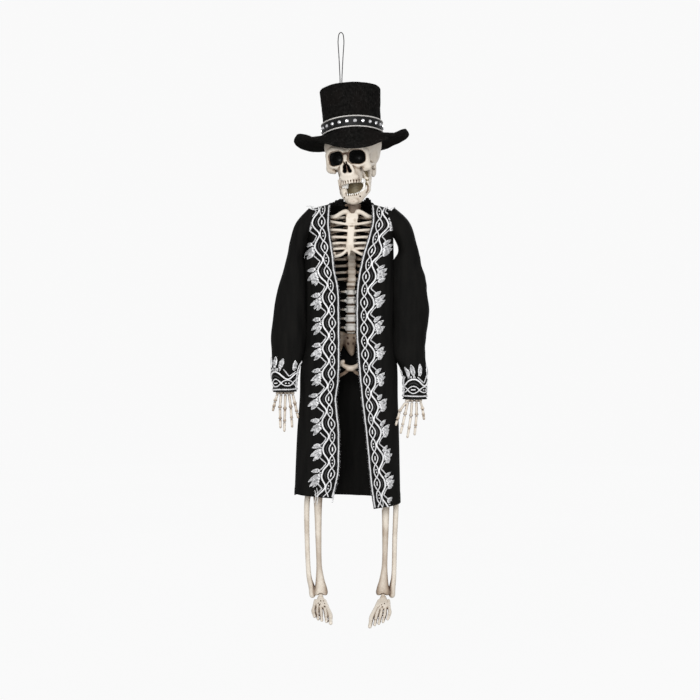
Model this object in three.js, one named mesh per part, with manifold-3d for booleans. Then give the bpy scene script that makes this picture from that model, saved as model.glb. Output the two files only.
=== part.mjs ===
// A plastic skeleton in an open embroidered coat and a felt top hat, hung up by a thread loop.
// Millimetres, +Z up. The figure faces -Y, and the origin is the top of its thread loop.
// Left and right are the figure's own: its left side lies at +X.
// A drop is a distance straight down from the top of the loop, so z is minus the drop.

import * as THREE from 'three';
import { mergeVertices } from 'three/addons/utils/BufferGeometryUtils.js';
import Module from 'manifold-3d';

const wasm = await Module();
wasm.setup();

const DEG = Math.PI / 180;
const RIGHT = -1;
const LEFT = 1;
const GAP = 0.35; // left between pieces that touch
const ACROSS = vec(1, 0, 0);
const UPWARD = vec(0, 0, 1);

// The thread loop
const THREAD_DIAMETER = 0.9;
const LOOP_RADIUS = 1.9;
const LOOP_FOOT_DROP = 47;
const LOOP_FOOT_SPREAD = 0.62;

// The hat
const HAT_BASE = vec(9.5, 0, -84.6);
const HAT_ROLL = -3.2 * DEG;
const HAT_TILT_BACK = -3.5 * DEG;
const CROWN_HEIGHT = 37.8;
const CROWN_WIDTH_RADIUS = 23.9;
const CROWN_OVAL = 1.17; // how much longer than wide the crown is
const CROWN_FLARE = 1.0;
const FELT = 1.5;
const BAND_LOW = 1;
const BAND_HIGH = 10.8;
const BAND_THICK = 0.7;
const BRIM_WAVE = 2.6; // how far the brim waves up and down behind its right side
const HAT_SIDE_DROP = 1.7; // how much lower the brim and the band sit at the sides
const HAT_SIDES = 20;

// The head
const HEAD_AT = vec(10.2, 0, -94);
const HEAD_YAW = -14 * DEG;
const HEAD_ROLL = -4 * DEG;
const CRANIUM = vec(23.2, 24.8, 22);
const EYE_X = 8.8;
const EYE_DROP = 11.5;
const FACE_ASIDE = -1; // the upper face stands a little to the figure's right of the brain case

// The trunk
const SPINE_X = 9;
const SPINE_Y = 10;
const SPINE_HALF_WIDTH = 3.9;
const NECK_DROP = 117.6;
const NECK_LEAN = vec(2.4, -5, 0); // where the top of the neck stands from the spine
const RIB_FRONT_Y = -19.5;
const RIB_BACK_Y = 11;
const RIB_TALL = 1.35;
const RIB_DEEP = 0.95;
const RIB_STEPS = 4; // straight lengths in a full half hoop
const STERNAL_RIB_DROPS = [159.6, 164.8, 170.2, 174.8, 179];
const ARCH_RIB_DROP = 180.5;
const HIP_DROP = 272;
const HIP_SPREAD = 20;
const PELVIS_X = 8;

// The limbs: where each joint hangs, as x and drop
const ARMS = {
  right: { side: RIGHT, shoulder: [-18, 153], bend: [-31, 163], elbow: [-41.5, 227], wrist: [-45, 291],
    fingerY: -6 },
  left: { side: LEFT, shoulder: [35, 153], bend: [49, 163], elbow: [57.6, 229], wrist: [59.3, 297],
    fingerY: -13 },
};
const LEGS = {
  right: { side: RIGHT, knee: -18.8, ankle: -16.5, fibula: [-27.8, -27.8, -23.4] },
  left: { side: LEFT, knee: 36.6, ankle: 34.4, fibula: [45, 44.1, 41.8] },
};
const KNEE_DROP = 366;
const ANKLE_DROP = 461.6;

// Fingers: x at the knuckle, at the middle joint and at the tip, and the drop of the tip
const FINGERS = {
  right: [
    [-51.6, -53.6, -55.4, 310.5],
    [-48.8, -49.8, -49.4, 324.5],
    [-45.4, -45.7, -46.2, 327.3],
    [-42.6, -41, -39.8, 323.8],
    [-39.6, -37.6, -35, 316.3],
  ],
  left: [
    [54, 48, 44.8, 322],
    [54.9, 52.2, 48.6, 328.6],
    [58, 57, 54.1, 332],
    [61.6, 61.5, 59.9, 329.8],
    [64.6, 66.3, 67.5, 317.3],
  ],
};
// Toes from the big one outward: x and drop of the tip
const TOES = {
  right: [[-8, 479], [-11.3, 478], [-15.1, 477.2], [-18.1, 476.4], [-21, 474.6]],
  left: [[23.2, 481.8], [27.1, 480.6], [30.4, 479.8], [33.8, 478.6], [37.6, 476.6]],
};
const TOE_FRONT_Y = -37;

// The coat: rows of [drop, x] down its two sides and its two front edges
const COAT_SIDE = {
  right: [[141, -24], [150, -26.5], [172, -26.5], [187, -30], [215, -28.7], [255, -29], [275, -33],
    [300, -33.8], [330, -36], [391, -38.5]],
  left: [[141, 40], [150, 42], [172, 43], [215, 43.5], [258, 43.8], [275, 46.2], [300, 46.6], [330, 47.6],
    [391, 48.8]],
};
const COAT_EDGE = {
  right: [[141, -8], [157, -9.1], [170, -7.9], [184, -5.9], [196, -4.6], [212, -1.4], [228, -0.9],
    [265, -0.7], [285, -1.3], [301, -3.3], [309, -2.7], [325, -0.9], [346, -0.7], [362, -1.6], [386, -7.6]],
  left: [[141, 24.6], [157, 25], [170, 21.9], [184, 17.7], [196, 14.9], [212, 12.6], [240, 12.1],
    [253, 12.4], [277, 14.3], [301, 16.7], [325, 19.5], [346, 21.7], [374, 24.4], [391, 27]],
};
const COAT_HEM = { right: [377.5, 380.6], left: [385.2, 389.2] }; // drops at the side seam and the edge
const COAT_BACK_HEM = { right: 379.6, left: 383 };
const COAT_HALF_DEPTH = [[141, 22.5], [190, 23], [225, 20], [270, 18], [330, 19], [391, 20.5]];
const COAT_MIDDLE_X = 8.2;
const COAT_MIDDLE_Y = -1;
const COAT_SECTION_POWER = 2.4; // 2 is an ellipse, more is squarer
const CLOTH = 1.1;
const NECK_HALF_WIDTH = 17.3;
const SHOULDER_DROPS = [141, 147.5]; // at the neck and at the arm
const SHOULDER_ROUNDING = 26;
const COLLAR_RISE = 10;
const CUFF_DROPS = { right: [280.5, 294.5], left: [283.5, 300.5] };
const SLEEVE_STEPS = 7;
const SLEEVE_SIDES = 8;
// Sleeves, from the armhole to the cuff: x, y, drop, half width, half depth
const SLEEVES = {
  right: [[-20, 0, 150.5, 8.6, 9.5], [-30, 0, 161, 8.2, 11], [-34.5, 0, 174, 7.4, 11], [-38, 0, 188, 7.4, 11],
    [-39.7, -1, 205, 9.8, 12], [-42.6, -1, 227, 12.7, 12.5], [-43.6, -2, 250, 13.4, 12],
    [-44, -3, 266, 12.6, 11], [-46, -4, 279, 10.7, 10.5], [-45.8, -4, 294.5, 9.2, 8.6]],
  left: [[38, 0, 150.5, 8.6, 9.5], [48.6, 0, 161, 9, 11], [54.4, 0, 175, 7.8, 11], [55.3, 0, 188, 10.4, 11],
    [57.2, -1, 206, 12.4, 12], [58.3, -1, 227, 13.5, 12.5], [57.6, -2, 247, 12.7, 12],
    [57.6, -3, 264, 11.8, 11], [60.3, -4, 281, 10, 10], [60.4, -4, 300.5, 9.4, 8.6]],
};

// The embroidered border, measured outward from the coat's front edge
const BORDER_TOP_DROP = 146;
const MOTIF_LENGTH = 20.3;
const MOTIF_FIRST_DROP = 159;
const BORDER_INSET = 0.8;
const VINE_NEAR = 13.2;
const LEAF_REACH = 24;
const BORDER_THICK = 0.6;
const BORDER_SHARE = { // how wide the border is laid at a drop, as a share of its full width
  right: [[146, 1], [391, 1]],
  left: [[146, 0.97], [230, 1.05], [262, 1.04], [285, 0.95], [330, 0.9], [391, 0.86]],
};

const BONE = { color: 0xe6dccb, roughness: 0.5, metalness: 0 };
const FELT_LOOK = { color: 0x191918, roughness: 0.95, metalness: 0 };
const CLOTH_LOOK = { color: 0x131312, roughness: 0.8, metalness: 0 };
const BORDER_LOOK = { color: 0xd9d8d6, roughness: 0.5, metalness: 0.1 };
const THREAD_LOOK = { color: 0x2a2624, roughness: 0.8, metalness: 0 };

const figure = new THREE.Group();

function vec(x, y, z) {
  return new THREE.Vector3(x, y, z);
}

function clamp(value, low, high) {
  return Math.min(Math.max(value, low), high);
}

function lerp(from, to, share) {
  return from + (to - from) * share;
}

// A smooth curve through rows of [key, value] with rising keys, read at any key.
function curveAt(rows, key) {
  const last = rows.length - 1;
  const spot = clamp(key, rows[0][0], rows[last][0]);
  let i = 0;
  while (i < last - 1 && rows[i + 1][0] < spot) {
    i += 1;
  }
  const slope = (j) => {
    const before = rows[Math.max(j - 1, 0)];
    const after = rows[Math.min(j + 1, last)];
    return (after[1] - before[1]) / (after[0] - before[0]);
  };
  const span = rows[i + 1][0] - rows[i][0];
  const t = (spot - rows[i][0]) / span;
  const ease = t * t * (3 - 2 * t);
  const lead = t * (1 - t) * (1 - t) * span * slope(i);
  const trail = t * t * (1 - t) * span * slope(i + 1);
  return lerp(rows[i][1], rows[i + 1][1], ease) + lead - trail;
}

// Reads smoothly between rows of numbers: t is 0 at the first row and 1 at the last.
function rowAt(rows, t) {
  const last = rows.length - 1;
  const place = t * last;
  const i = Math.min(Math.floor(place), last - 1);
  const f = place - i;
  const [a, b, c, d] = [i - 1, i, i + 1, i + 2].map((j) => rows[clamp(j, 0, last)]);
  return b.map((_, k) => {
    const bend = 2 * a[k] - 5 * b[k] + 4 * c[k] - d[k];
    const twist = 3 * b[k] - a[k] - 3 * c[k] + d[k];
    return 0.5 * (2 * b[k] + (c[k] - a[k]) * f + bend * f * f + twist * f * f * f);
  });
}

// A closed mesh from points and triangles, turned so that its faces look outward.
function closedMesh(points, triangles) {
  let volume = 0;
  for (let i = 0; i < triangles.length; i += 3) {
    const [a, b, c] = [points[triangles[i]], points[triangles[i + 1]], points[triangles[i + 2]]];
    volume += a.dot(b.clone().cross(c));
  }
  const order = volume < 0 ? triangles.slice().reverse() : triangles;
  const geometry = new THREE.BufferGeometry();
  geometry.setAttribute('position', new THREE.Float32BufferAttribute(points.flatMap((p) => p.toArray()), 3));
  geometry.setIndex(order);
  return geometry;
}

// A skin over rings of points: capped at both ends, or joined end to end.
function loft(rings, joined = false) {
  const sides = rings[0].length;
  const bands = joined ? rings.length : rings.length - 1;
  const triangles = [];
  for (let i = 0; i < bands; i += 1) {
    const low = i * sides;
    const high = ((i + 1) % rings.length) * sides;
    for (let j = 0; j < sides; j += 1) {
      const k = (j + 1) % sides;
      triangles.push(low + j, low + k, high + k, low + j, high + k, high + j);
    }
  }
  if (!joined) {
    const top = (rings.length - 1) * sides;
    for (let j = 1; j < sides - 1; j += 1) {
      triangles.push(0, j + 1, j, top, top + j, top + j + 1);
    }
  }
  return closedMesh(rings.flat(), triangles);
}

// A closed sheet between two grids of points.
function sheetBetween(outer, inner) {
  const rows = outer.length;
  const columns = outer[0].length;
  const at = (layer, i, j) => (layer * rows + i) * columns + j;
  const triangles = [];
  const quad = (a, b, c, d) => triangles.push(a, b, c, a, c, d);
  const bottom = rows - 1;
  const end = columns - 1;
  for (let i = 0; i < bottom; i += 1) {
    for (let j = 0; j < end; j += 1) {
      quad(at(0, i, j), at(0, i, j + 1), at(0, i + 1, j + 1), at(0, i + 1, j));
      quad(at(1, i, j), at(1, i + 1, j), at(1, i + 1, j + 1), at(1, i, j + 1));
    }
    quad(at(0, i, 0), at(0, i + 1, 0), at(1, i + 1, 0), at(1, i, 0));
    quad(at(0, i, end), at(1, i, end), at(1, i + 1, end), at(0, i + 1, end));
  }
  for (let j = 0; j < end; j += 1) {
    quad(at(0, 0, j), at(1, 0, j), at(1, 0, j + 1), at(0, 0, j + 1));
    quad(at(0, bottom, j), at(0, bottom, j + 1), at(1, bottom, j + 1), at(1, bottom, j));
  }
  return closedMesh([...outer.flat(), ...inner.flat()], triangles);
}

// Rings along rows of [x, y, drop, half width, half depth].
function ringsAlong(rows, steps, sides, reference, grow = 0) {
  const rings = [];
  for (let i = 0; i <= steps; i += 1) {
    const t = i / steps;
    const [x, y, drop, wide, deep = wide] = rowAt(rows, t);
    const ahead = rowAt(rows, Math.min(t + 0.01, 1));
    const behind = rowAt(rows, Math.max(t - 0.01, 0));
    const tangent = vec(ahead[0] - behind[0], ahead[1] - behind[1], behind[2] - ahead[2]).normalize();
    const side = reference.clone().addScaledVector(tangent, -reference.dot(tangent)).normalize();
    const front = tangent.clone().cross(side);
    rings.push(Array.from({ length: sides }, (_, j) => {
      const turn = (j + 0.5) / sides * 2 * Math.PI;
      return vec(x, y, -drop)
        .addScaledVector(side, Math.cos(turn) * (wide + grow))
        .addScaledVector(front, Math.sin(turn) * (deep + grow));
    }));
  }
  return rings;
}

// A rounded bar along rows of [x, y, drop, half width, half depth].
function bar(rows, { steps = rows.length - 1, sides = 6, reference = ACROSS } = {}) {
  return loft(ringsAlong(rows, steps, sides, reference));
}

function ball(x, y, z, wide, deep, tall, sides = 12, levels = 8) {
  const geometry = new THREE.SphereGeometry(1, sides, levels);
  geometry.rotateX(Math.PI / 2);
  geometry.scale(wide, deep, tall);
  geometry.translate(x, y, z);
  return geometry;
}

function block(x, y, z, wide, deep, tall, turn = 0) {
  const geometry = new THREE.BoxGeometry(wide, deep, tall);
  geometry.rotateZ(turn);
  geometry.translate(x, y, z);
  return geometry;
}

function solidOf(geometry) {
  const bare = geometry.clone();
  bare.deleteAttribute('normal');
  bare.deleteAttribute('uv');
  const merged = mergeVertices(bare);
  const vertProperties = new Float32Array(merged.attributes.position.array);
  const triVerts = new Uint32Array(merged.index.array);
  return new wasm.Manifold(new wasm.Mesh({ numProp: 3, vertProperties, triVerts }));
}

function united(geometries) {
  return geometries.map(solidOf).reduce((whole, next) => whole.add(next));
}

function without(solid, geometries) {
  return geometries.map(solidOf).reduce((rest, tool) => rest.subtract(tool), solid);
}

function geometryOf(solid) {
  const mesh = solid.getMesh();
  const geometry = new THREE.BufferGeometry();
  geometry.setAttribute('position', new THREE.BufferAttribute(mesh.vertProperties, mesh.numProp));
  geometry.setIndex(new THREE.BufferAttribute(mesh.triVerts, 1));
  return geometry;
}

function addPiece(name, geometry, look, parent = figure) {
  const mesh = new THREE.Mesh(geometry, new THREE.MeshStandardMaterial(look));
  mesh.name = name;
  parent.add(mesh);
  return mesh;
}

// The thread: up one strand, round the top of the loop and down the other.
function makeLoop() {
  const half = [
    vec(LOOP_FOOT_SPREAD, 0, -LOOP_FOOT_DROP),
    vec(0.8, 0, -38),
    vec(1.25, 0, -28),
    vec(1.8, 0, -18),
    vec(LOOP_RADIUS + 0.5, 0, -9),
    vec(LOOP_RADIUS + 0.2, 0, -4),
    vec(LOOP_RADIUS * 0.75, 0, -1.5),
  ];
  const mirrored = half.map((p) => vec(-p.x, p.y, p.z)).reverse();
  const route = new THREE.CatmullRomCurve3([...half, vec(0, 0, -THREAD_DIAMETER / 2), ...mirrored]);
  const section = new THREE.Shape();
  section.absarc(0, 0, THREAD_DIAMETER / 2, 0, 2 * Math.PI, false);
  const stepsEachWay = Math.round(route.getLength() / 2 / (THREAD_DIAMETER * 5));
  const tube = new THREE.ExtrudeGeometry(section, {
    extrudePath: route, steps: stepsEachWay * 2, curveSegments: 4, bevelEnabled: false,
  });
  addPiece('thread_loop', tube, THREAD_LOOK);
}

// The hat's brim droops at the front and back and rolls up at the sides.
// Each profile runs out from the crown as [reach, rise].
const BRIM_SIDE = [[0, 0], [9, 0.2], [17, -0.2], [22.8, -0.8], [21, 2.5]];
const BRIM_FRONT = [[0, 0], [4.6, -5.9], [8.2, -10.6], [11.2, -14.4], [13.6, -17.8]];
const BRIM_BACK = [[0, 0], [5, -1.8], [10, -3.6], [13.5, -4.8], [16.5, -5.8]];

function brimProfile(turn, share) {
  const front = Math.sin(turn) < 0;
  const sideways = Math.abs(Math.cos(turn)) ** (front ? 2.2 : 5);
  const [reachSide, riseSide] = rowAt(BRIM_SIDE, share);
  const [reachAlong, riseAlong] = rowAt(front ? BRIM_FRONT : BRIM_BACK, share);
  const rise = lerp(riseAlong, riseSide, sideways) + brimWave(turn) * share ** 1.5;
  return [lerp(reachAlong, reachSide, sideways), rise];
}

// One wave over the quarter of the brim behind the figure's right side: up, then down.
function brimWave(turn) {
  const quarter = (turn * 2 / Math.PI) - 1;
  return quarter > 0 && quarter < 1 ? BRIM_WAVE * Math.sin(quarter * 2 * Math.PI) : 0;
}

// How much lower than at its front the hat sits at a turn.
function sideDrop(turn) {
  return HAT_SIDE_DROP * Math.cos(turn) ** 2;
}

function hatRing(radius, height) {
  return Array.from({ length: HAT_SIDES }, (_, j) => {
    const turn = j / HAT_SIDES * 2 * Math.PI;
    const sag = sideDrop(turn) * (1 - height / CROWN_HEIGHT);
    return vec(Math.cos(turn) * radius, Math.sin(turn) * (radius + crownOval()), height - sag);
  });
}

function crownOval() {
  return CROWN_WIDTH_RADIUS * (CROWN_OVAL - 1);
}

function brimRing(share, below) {
  return Array.from({ length: HAT_SIDES }, (_, j) => {
    const turn = j / HAT_SIDES * 2 * Math.PI;
    const [reach, rise] = brimProfile(turn, share);
    const [reachNext, riseNext] = brimProfile(turn, Math.min(share + 0.05, 1));
    const [reachPast, risePast] = brimProfile(turn, Math.max(share - 0.05, 0));
    const run = Math.hypot(reachNext - reachPast, riseNext - risePast);
    const inward = (riseNext - risePast) / run * below;
    const downward = (reachNext - reachPast) / run * below;
    const radius = CROWN_WIDTH_RADIUS + reach + inward;
    const height = rise - downward - sideDrop(turn);
    return vec(Math.cos(turn) * radius, Math.sin(turn) * (radius + crownOval()), height);
  });
}

function makeHat() {
  const holder = new THREE.Group();
  holder.position.copy(HAT_BASE);
  holder.rotation.set(HAT_TILT_BACK, HAT_ROLL, 0);
  figure.add(holder);

  const topRadius = CROWN_WIDTH_RADIUS + CROWN_FLARE;
  const rings = [
    hatRing(topRadius - 1.6, CROWN_HEIGHT),
    hatRing(topRadius, CROWN_HEIGHT - 1.4),
    hatRing(CROWN_WIDTH_RADIUS + 0.1, CROWN_HEIGHT * 0.66),
    brimRing(0, 0), brimRing(0.25, 0), brimRing(0.5, 0), brimRing(0.78, 0), brimRing(1, 0),
    brimRing(1, FELT), brimRing(0.78, FELT), brimRing(0.5, FELT), brimRing(0.25, FELT),
    hatRing(CROWN_WIDTH_RADIUS - FELT, -0.6),
    hatRing(CROWN_WIDTH_RADIUS - FELT, CROWN_HEIGHT * 0.66),
    hatRing(topRadius - FELT - 0.4, CROWN_HEIGHT - FELT),
  ];
  addPiece('hat', loft(rings), FELT_LOOK, holder);

  const wall = CROWN_WIDTH_RADIUS + GAP;
  const face = wall + BAND_THICK;
  const bandRings = [
    hatRing(wall, BAND_LOW), hatRing(face + 0.4, BAND_LOW), hatRing(face, BAND_LOW + 1.4),
    hatRing(face, BAND_HIGH - 1.4), hatRing(face + 0.4, BAND_HIGH), hatRing(wall, BAND_HIGH),
  ];
  addPiece('hat_band', loft(bandRings, true), FELT_LOOK, holder);
}

// The skull: a brain case and a face with cheekbones, hollowed eyes and nose, and upper teeth.
function makeSkull(head) {
  const face = bar([
    [FACE_ASIDE, -9.8, -2, 18.6, 13.6],
    [FACE_ASIDE, -10.2, 5, 17.6, 14.4],
    [FACE_ASIDE, -11.6, 13, 14.4, 14.2],
    [FACE_ASIDE / 2, -13, 19, 10.8, 13],
    [0.4, -14, 25, 9, 11.8],
    [0.9, -14.4, 29, 8.4, 11.4],
  ], { sides: 8 });
  const forms = [
    ball(0, 0.6, -0.5, CRANIUM.x, CRANIUM.y, CRANIUM.z, 13, 8),
    face,
    bar([
      [FACE_ASIDE, -23.6, 7, 2.2, 1.8],
      [FACE_ASIDE / 2, -25.4, 11, 2.2, 1.8],
      [0, -27, 14.8, 2.6, 1.6],
    ], { sides: 5 }),
  ];
  const hollows = [];
  for (const side of [RIGHT, LEFT]) {
    const x = (offset) => side * offset + FACE_ASIDE;
    forms.push(
      bar([
        [x(12.6), -18.8, 20, 3.2, 3.2],
        [x(16.6), -15, 17.6, 2.6, 2],
        [x(16.6), -6, 16.4, 1.8, 1.4],
        [side * 15.4, 1.5, 15.2, 2.4, 2.2],
      ], { steps: 4, sides: 5, reference: UPWARD }),
      ball(side * 13.4, 7, -19, 2.8, 4, 6.6, 6, 5),
      bar([
        [x(2.4), -24.2, 5.6, 1.8, 2.6],
        [x(9), -24.2, 4.2, 1.6, 2.6],
        [x(15.6), -19.4, 7, 1.8, 2.6],
        [x(16), -18.6, 14, 2.2, 2.4],
      ], { steps: 4, sides: 5, reference: UPWARD }),
    );
    hollows.push(
      bar([
        [x(EYE_X), -32, EYE_DROP, 6.2, 5.8],
        [x(EYE_X), -20, EYE_DROP, 5.4, 5],
        [x(EYE_X - 1.6), -12, EYE_DROP, 3, 3],
      ], { steps: 2, sides: 8 }),
      ball(side * 1.9, -28, -20.4, 1.4, 5.4, 4.6, 6, 5),
      ball(side * 22.5, -6, -11, 4.8, 6.5, 6, 8, 6),
      ball(side * 13, -4, -24.6, 4.8, 11, 10, 6, 5),
    );
  }
  for (let i = -4; i <= 4; i += 1) {
    const turn = i * 0.26;
    const x = 0.9 + Math.sin(turn) * 8.2;
    forms.push(block(x, -14.4 - Math.cos(turn) * 10.6, -30, 1.7, 2.6, 5.4, turn));
  }
  addPiece('skull', geometryOf(without(united(forms), hollows)), BONE, head);
}

// The jaw hangs open: two upright branches, the curved body and the lower teeth, which stand
// lowest in front. Its foot hangs a little to the figure's left.
function makeJaw(head) {
  const forms = [];
  for (const side of [RIGHT, LEFT]) {
    forms.push(bar([
      [side * 11.9 - 0.9, -2.4, 19.6, 1.3, 2.6],
      [side * 11.7 - 0.6, -2.8, 27, 1.4, 4.2],
      [side * 11, -4.4, 36, 1.5, 4],
      [side * 8.6 + 0.6, -12, 41.6, 2, 3.2],
      [side * 6 + 1.3, -18.2, 44.2, 2.2, 3.2],
      [side * -0.4 + 1.9, -21.2, 45, 3.4, 2.2],
    ], { steps: 6, sides: 6 }));
  }
  for (let i = -5; i <= 5; i += 1) {
    const turn = i * 0.24;
    const back = 1 - Math.cos(turn);
    const x = 1.6 - back + Math.sin(turn) * 7;
    forms.push(block(x, -20.8 + back * 9.4, -41.4 + back * 4.6, 1.3, 1.6, 3.4, turn));
  }
  addPiece('jaw', geometryOf(united(forms)), BONE, head);
}

function makeHead() {
  const head = new THREE.Group();
  head.position.copy(HEAD_AT);
  head.rotation.set(0, HEAD_ROLL, HEAD_YAW, 'YXZ');
  figure.add(head);
  makeSkull(head);
  makeJaw(head);
}

// Half the width of the rib cage at a drop.
function ribHalfWidth(drop) {
  return curveAt([[148, 13], [156, 20], [168, 26], [185, 29.5], [200, 29.5], [214, 27]], drop);
}

// One rib on one side, from the spine round to the breastbone, or part of the way.
function rib(side, backDrop, frontDrop, reach, meet) {
  const rows = [];
  const stations = 6;
  for (let i = 0; i <= stations; i += 1) {
    const share = i / stations * reach;
    const turn = share * Math.PI;
    const drop = lerp(backDrop, frontDrop, share ** 1.2);
    const half = ribHalfWidth(lerp(backDrop, frontDrop, 0.5));
    const wide = Math.sin(turn) ** 0.85 * half + meet * share;
    const y = lerp(RIB_FRONT_Y, RIB_BACK_Y, (1 + Math.cos(turn)) / 2);
    rows.push([SPINE_X + side * wide, y, drop, RIB_TALL, RIB_DEEP]);
  }
  return bar(rows, { sides: 4, steps: Math.round(RIB_STEPS * reach), reference: UPWARD });
}

// The backbone, with the knobs of its neck, chest and small of the back.
function makeSpine() {
  const spineRows = [];
  const vertebraPitch = 9.6;
  for (let drop = NECK_DROP; drop < 212; drop += vertebraPitch) {
    const lean = clamp((148 - drop) / 30, 0, 1);
    const x = SPINE_X + NECK_LEAN.x * lean;
    const y = SPINE_Y + NECK_LEAN.y * lean;
    const neck = 1 + 0.45 * lean;
    spineRows.push([x, y, drop, 3.1 * neck, 3.2], [x, y, drop + vertebraPitch / 2, 3.9 * neck, 3.6]);
  }
  const forms = [bar(spineRows, { sides: 5 })];
  const lumbarRows = [];
  const lumbarPitch = 7.6;
  for (let i = 0; i < 5; i += 1) {
    const drop = 207.6 + i * lumbarPitch;
    const half = 3.3 + i * 0.25;
    lumbarRows.push([8.2, SPINE_Y, drop, half, 3.4], [8.2, SPINE_Y, drop + lumbarPitch / 2, half - 1, 2.6]);
    for (const side of [RIGHT, LEFT]) {
      forms.push(bar([
        [8.2, SPINE_Y + 1, drop + 3, 1.5, 1.1],
        [8.2 + side * 8.6, SPINE_Y + 2, drop + 3.6, 0.6, 0.5],
      ], { sides: 3, reference: UPWARD }));
    }
  }
  lumbarRows.push([8.2, SPINE_Y, 246, 4, 3.4]);
  forms.push(bar(lumbarRows, { sides: 6 }));
  addPiece('spine', geometryOf(united(forms)), BONE);
}

// The breastbone: broad at the top, then a long blade that ends in a point.
function breastbone(grow = 0) {
  const rows = [
    [9.3, -14.5, 148.5, 5.6, 1.6],
    [9.2, -16.4, 153, 4.4, 1.8],
    [8.6, -18.6, 159, 2.8, 1.6],
    [7.6, -19.7, 170, 3.4, 1.6],
    [7, -20, 178, 3.2, 1.6],
    [6.4, -20, 184, 0.7, 0.8],
  ];
  return loft(ringsAlong(rows, 5, 5, ACROSS, grow));
}

// The ribs of both sides, with the collar bones and shoulder blades that are moulded to them.
function makeRibCage() {
  addPiece('breastbone', breastbone(), BONE);
  const spineRoom = block(SPINE_X, SPINE_Y + 5, -190, (SPINE_HALF_WIDTH + GAP) * 2, 18, 160);
  for (const name of ['right', 'left']) {
    const side = ARMS[name].side;
    const forms = STERNAL_RIB_DROPS.map((front, i) => rib(side, 151 + i * 5.2, front, 1, 1.4));
    const stripX = SPINE_X + side * (SPINE_HALF_WIDTH + GAP + 0.9);
    forms.push(
      bar([[stripX, RIB_BACK_Y, 146.5, 1.3, 1.2], [stripX, RIB_BACK_Y, 204, 1.3, 1.2]], { sides: 4 }),
      rib(side, 175, ARCH_RIB_DROP + 3.6, 0.86, 0),
      rib(side, 180.4, ARCH_RIB_DROP + 6.5, 0.8, 0),
      rib(side, 185.8, 190, 0.62, 0),
      rib(side, 191.2, 196, 0.56, 0),
      rib(side, 196.6, 203, 0.5, 0),
      rib(side, 202, 212, 0.42, 0),
      bar([
        [SPINE_X + side * 3, -16.5, 150, 1.3, 1.2],
        [SPINE_X + side * 11, -14, 152.4, 1.3, 1.2],
        [SPINE_X + side * 19, -5, 150.4, 1.6, 1.4],
        [SPINE_X + side * 23, 1, 150.2, 2.2, 2],
      ], { steps: 3, sides: 4 }),
      bar([
        [SPINE_X + side * 23, 1, 150.2, 2.4, 2.4],
        [SPINE_X + side * 20, 8.2, 156, 5.6, 1],
        [SPINE_X + side * 16, 11.4, 166, 4.4, 0.9],
        [SPINE_X + side * 13, 12, 178, 1, 0.8],
      ], { steps: 3, sides: 4 }),
      bar([
        [7.4 + side * 1.6, -19.8, ARCH_RIB_DROP - 1, 1.3, 1.1],
        [SPINE_X + side * 8, -19.3, ARCH_RIB_DROP + 1.8, 1.3, 1.1],
        [SPINE_X + side * 14.3, -18, ARCH_RIB_DROP + 3.9, 1.3, 1.1],
        [SPINE_X + side * 18.8, -16.6, ARCH_RIB_DROP + 6.2, 1.3, 1.1],
      ], { steps: 3, sides: 4, reference: UPWARD }),
    );
    const cage = without(united(forms), [spineRoom, breastbone(GAP)]);
    addPiece(`rib_cage_${name}`, geometryOf(cage), BONE);
  }
}

function makePelvis() {
  const forms = [bar([
    [PELVIS_X, SPINE_Y, 247, 7, 3.2],
    [PELVIS_X, SPINE_Y + 2.4, 254, 6, 3],
    [PELVIS_X, SPINE_Y + 3, 262, 2.8, 2],
    [PELVIS_X, SPINE_Y + 1, 266, 1, 1],
  ], { sides: 6 })];
  for (const side of [RIGHT, LEFT]) {
    const x = (offset) => PELVIS_X + side * offset;
    forms.push(
      bar([
        [x(5), 10, 249, 1.6, 5],
        [x(13), 7, 247.6, 1.5, 8],
        [x(21), 1, 250.5, 1.5, 7],
        [x(24), -4, 255, 1.4, 4],
      ], { steps: 3, sides: 5, reference: vec(0, 1, 0) }),
      bar([
        [x(17), 2, 252, 6.5, 1.6],
        [x(18), 1, 262, 4.6, 2.2],
        [x(18), 0, 270, 3.6, 3.6],
        [x(15), 0, 279, 2.2, 2],
        [x(10), -4, 282, 1.6, 1.4],
      ], { steps: 3, sides: 5, reference: vec(0.6, 1, 0) }),
      bar([
        [x(16), -2, 268.5, 2.4, 2],
        [x(9), -8.5, 271.5, 1.6, 1.6],
        [x(-0.4), -10.5, 275, 1.8, 1.7],
      ], { steps: 2, sides: 5, reference: UPWARD }),
      bar([
        [x(1.2), -10, 276, 1.3, 1.3],
        [x(10), -4, 282, 1.5, 1.4],
      ], { sides: 5 }),
    );
  }
  addPiece('pelvis', geometryOf(united(forms)), BONE);
}

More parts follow.
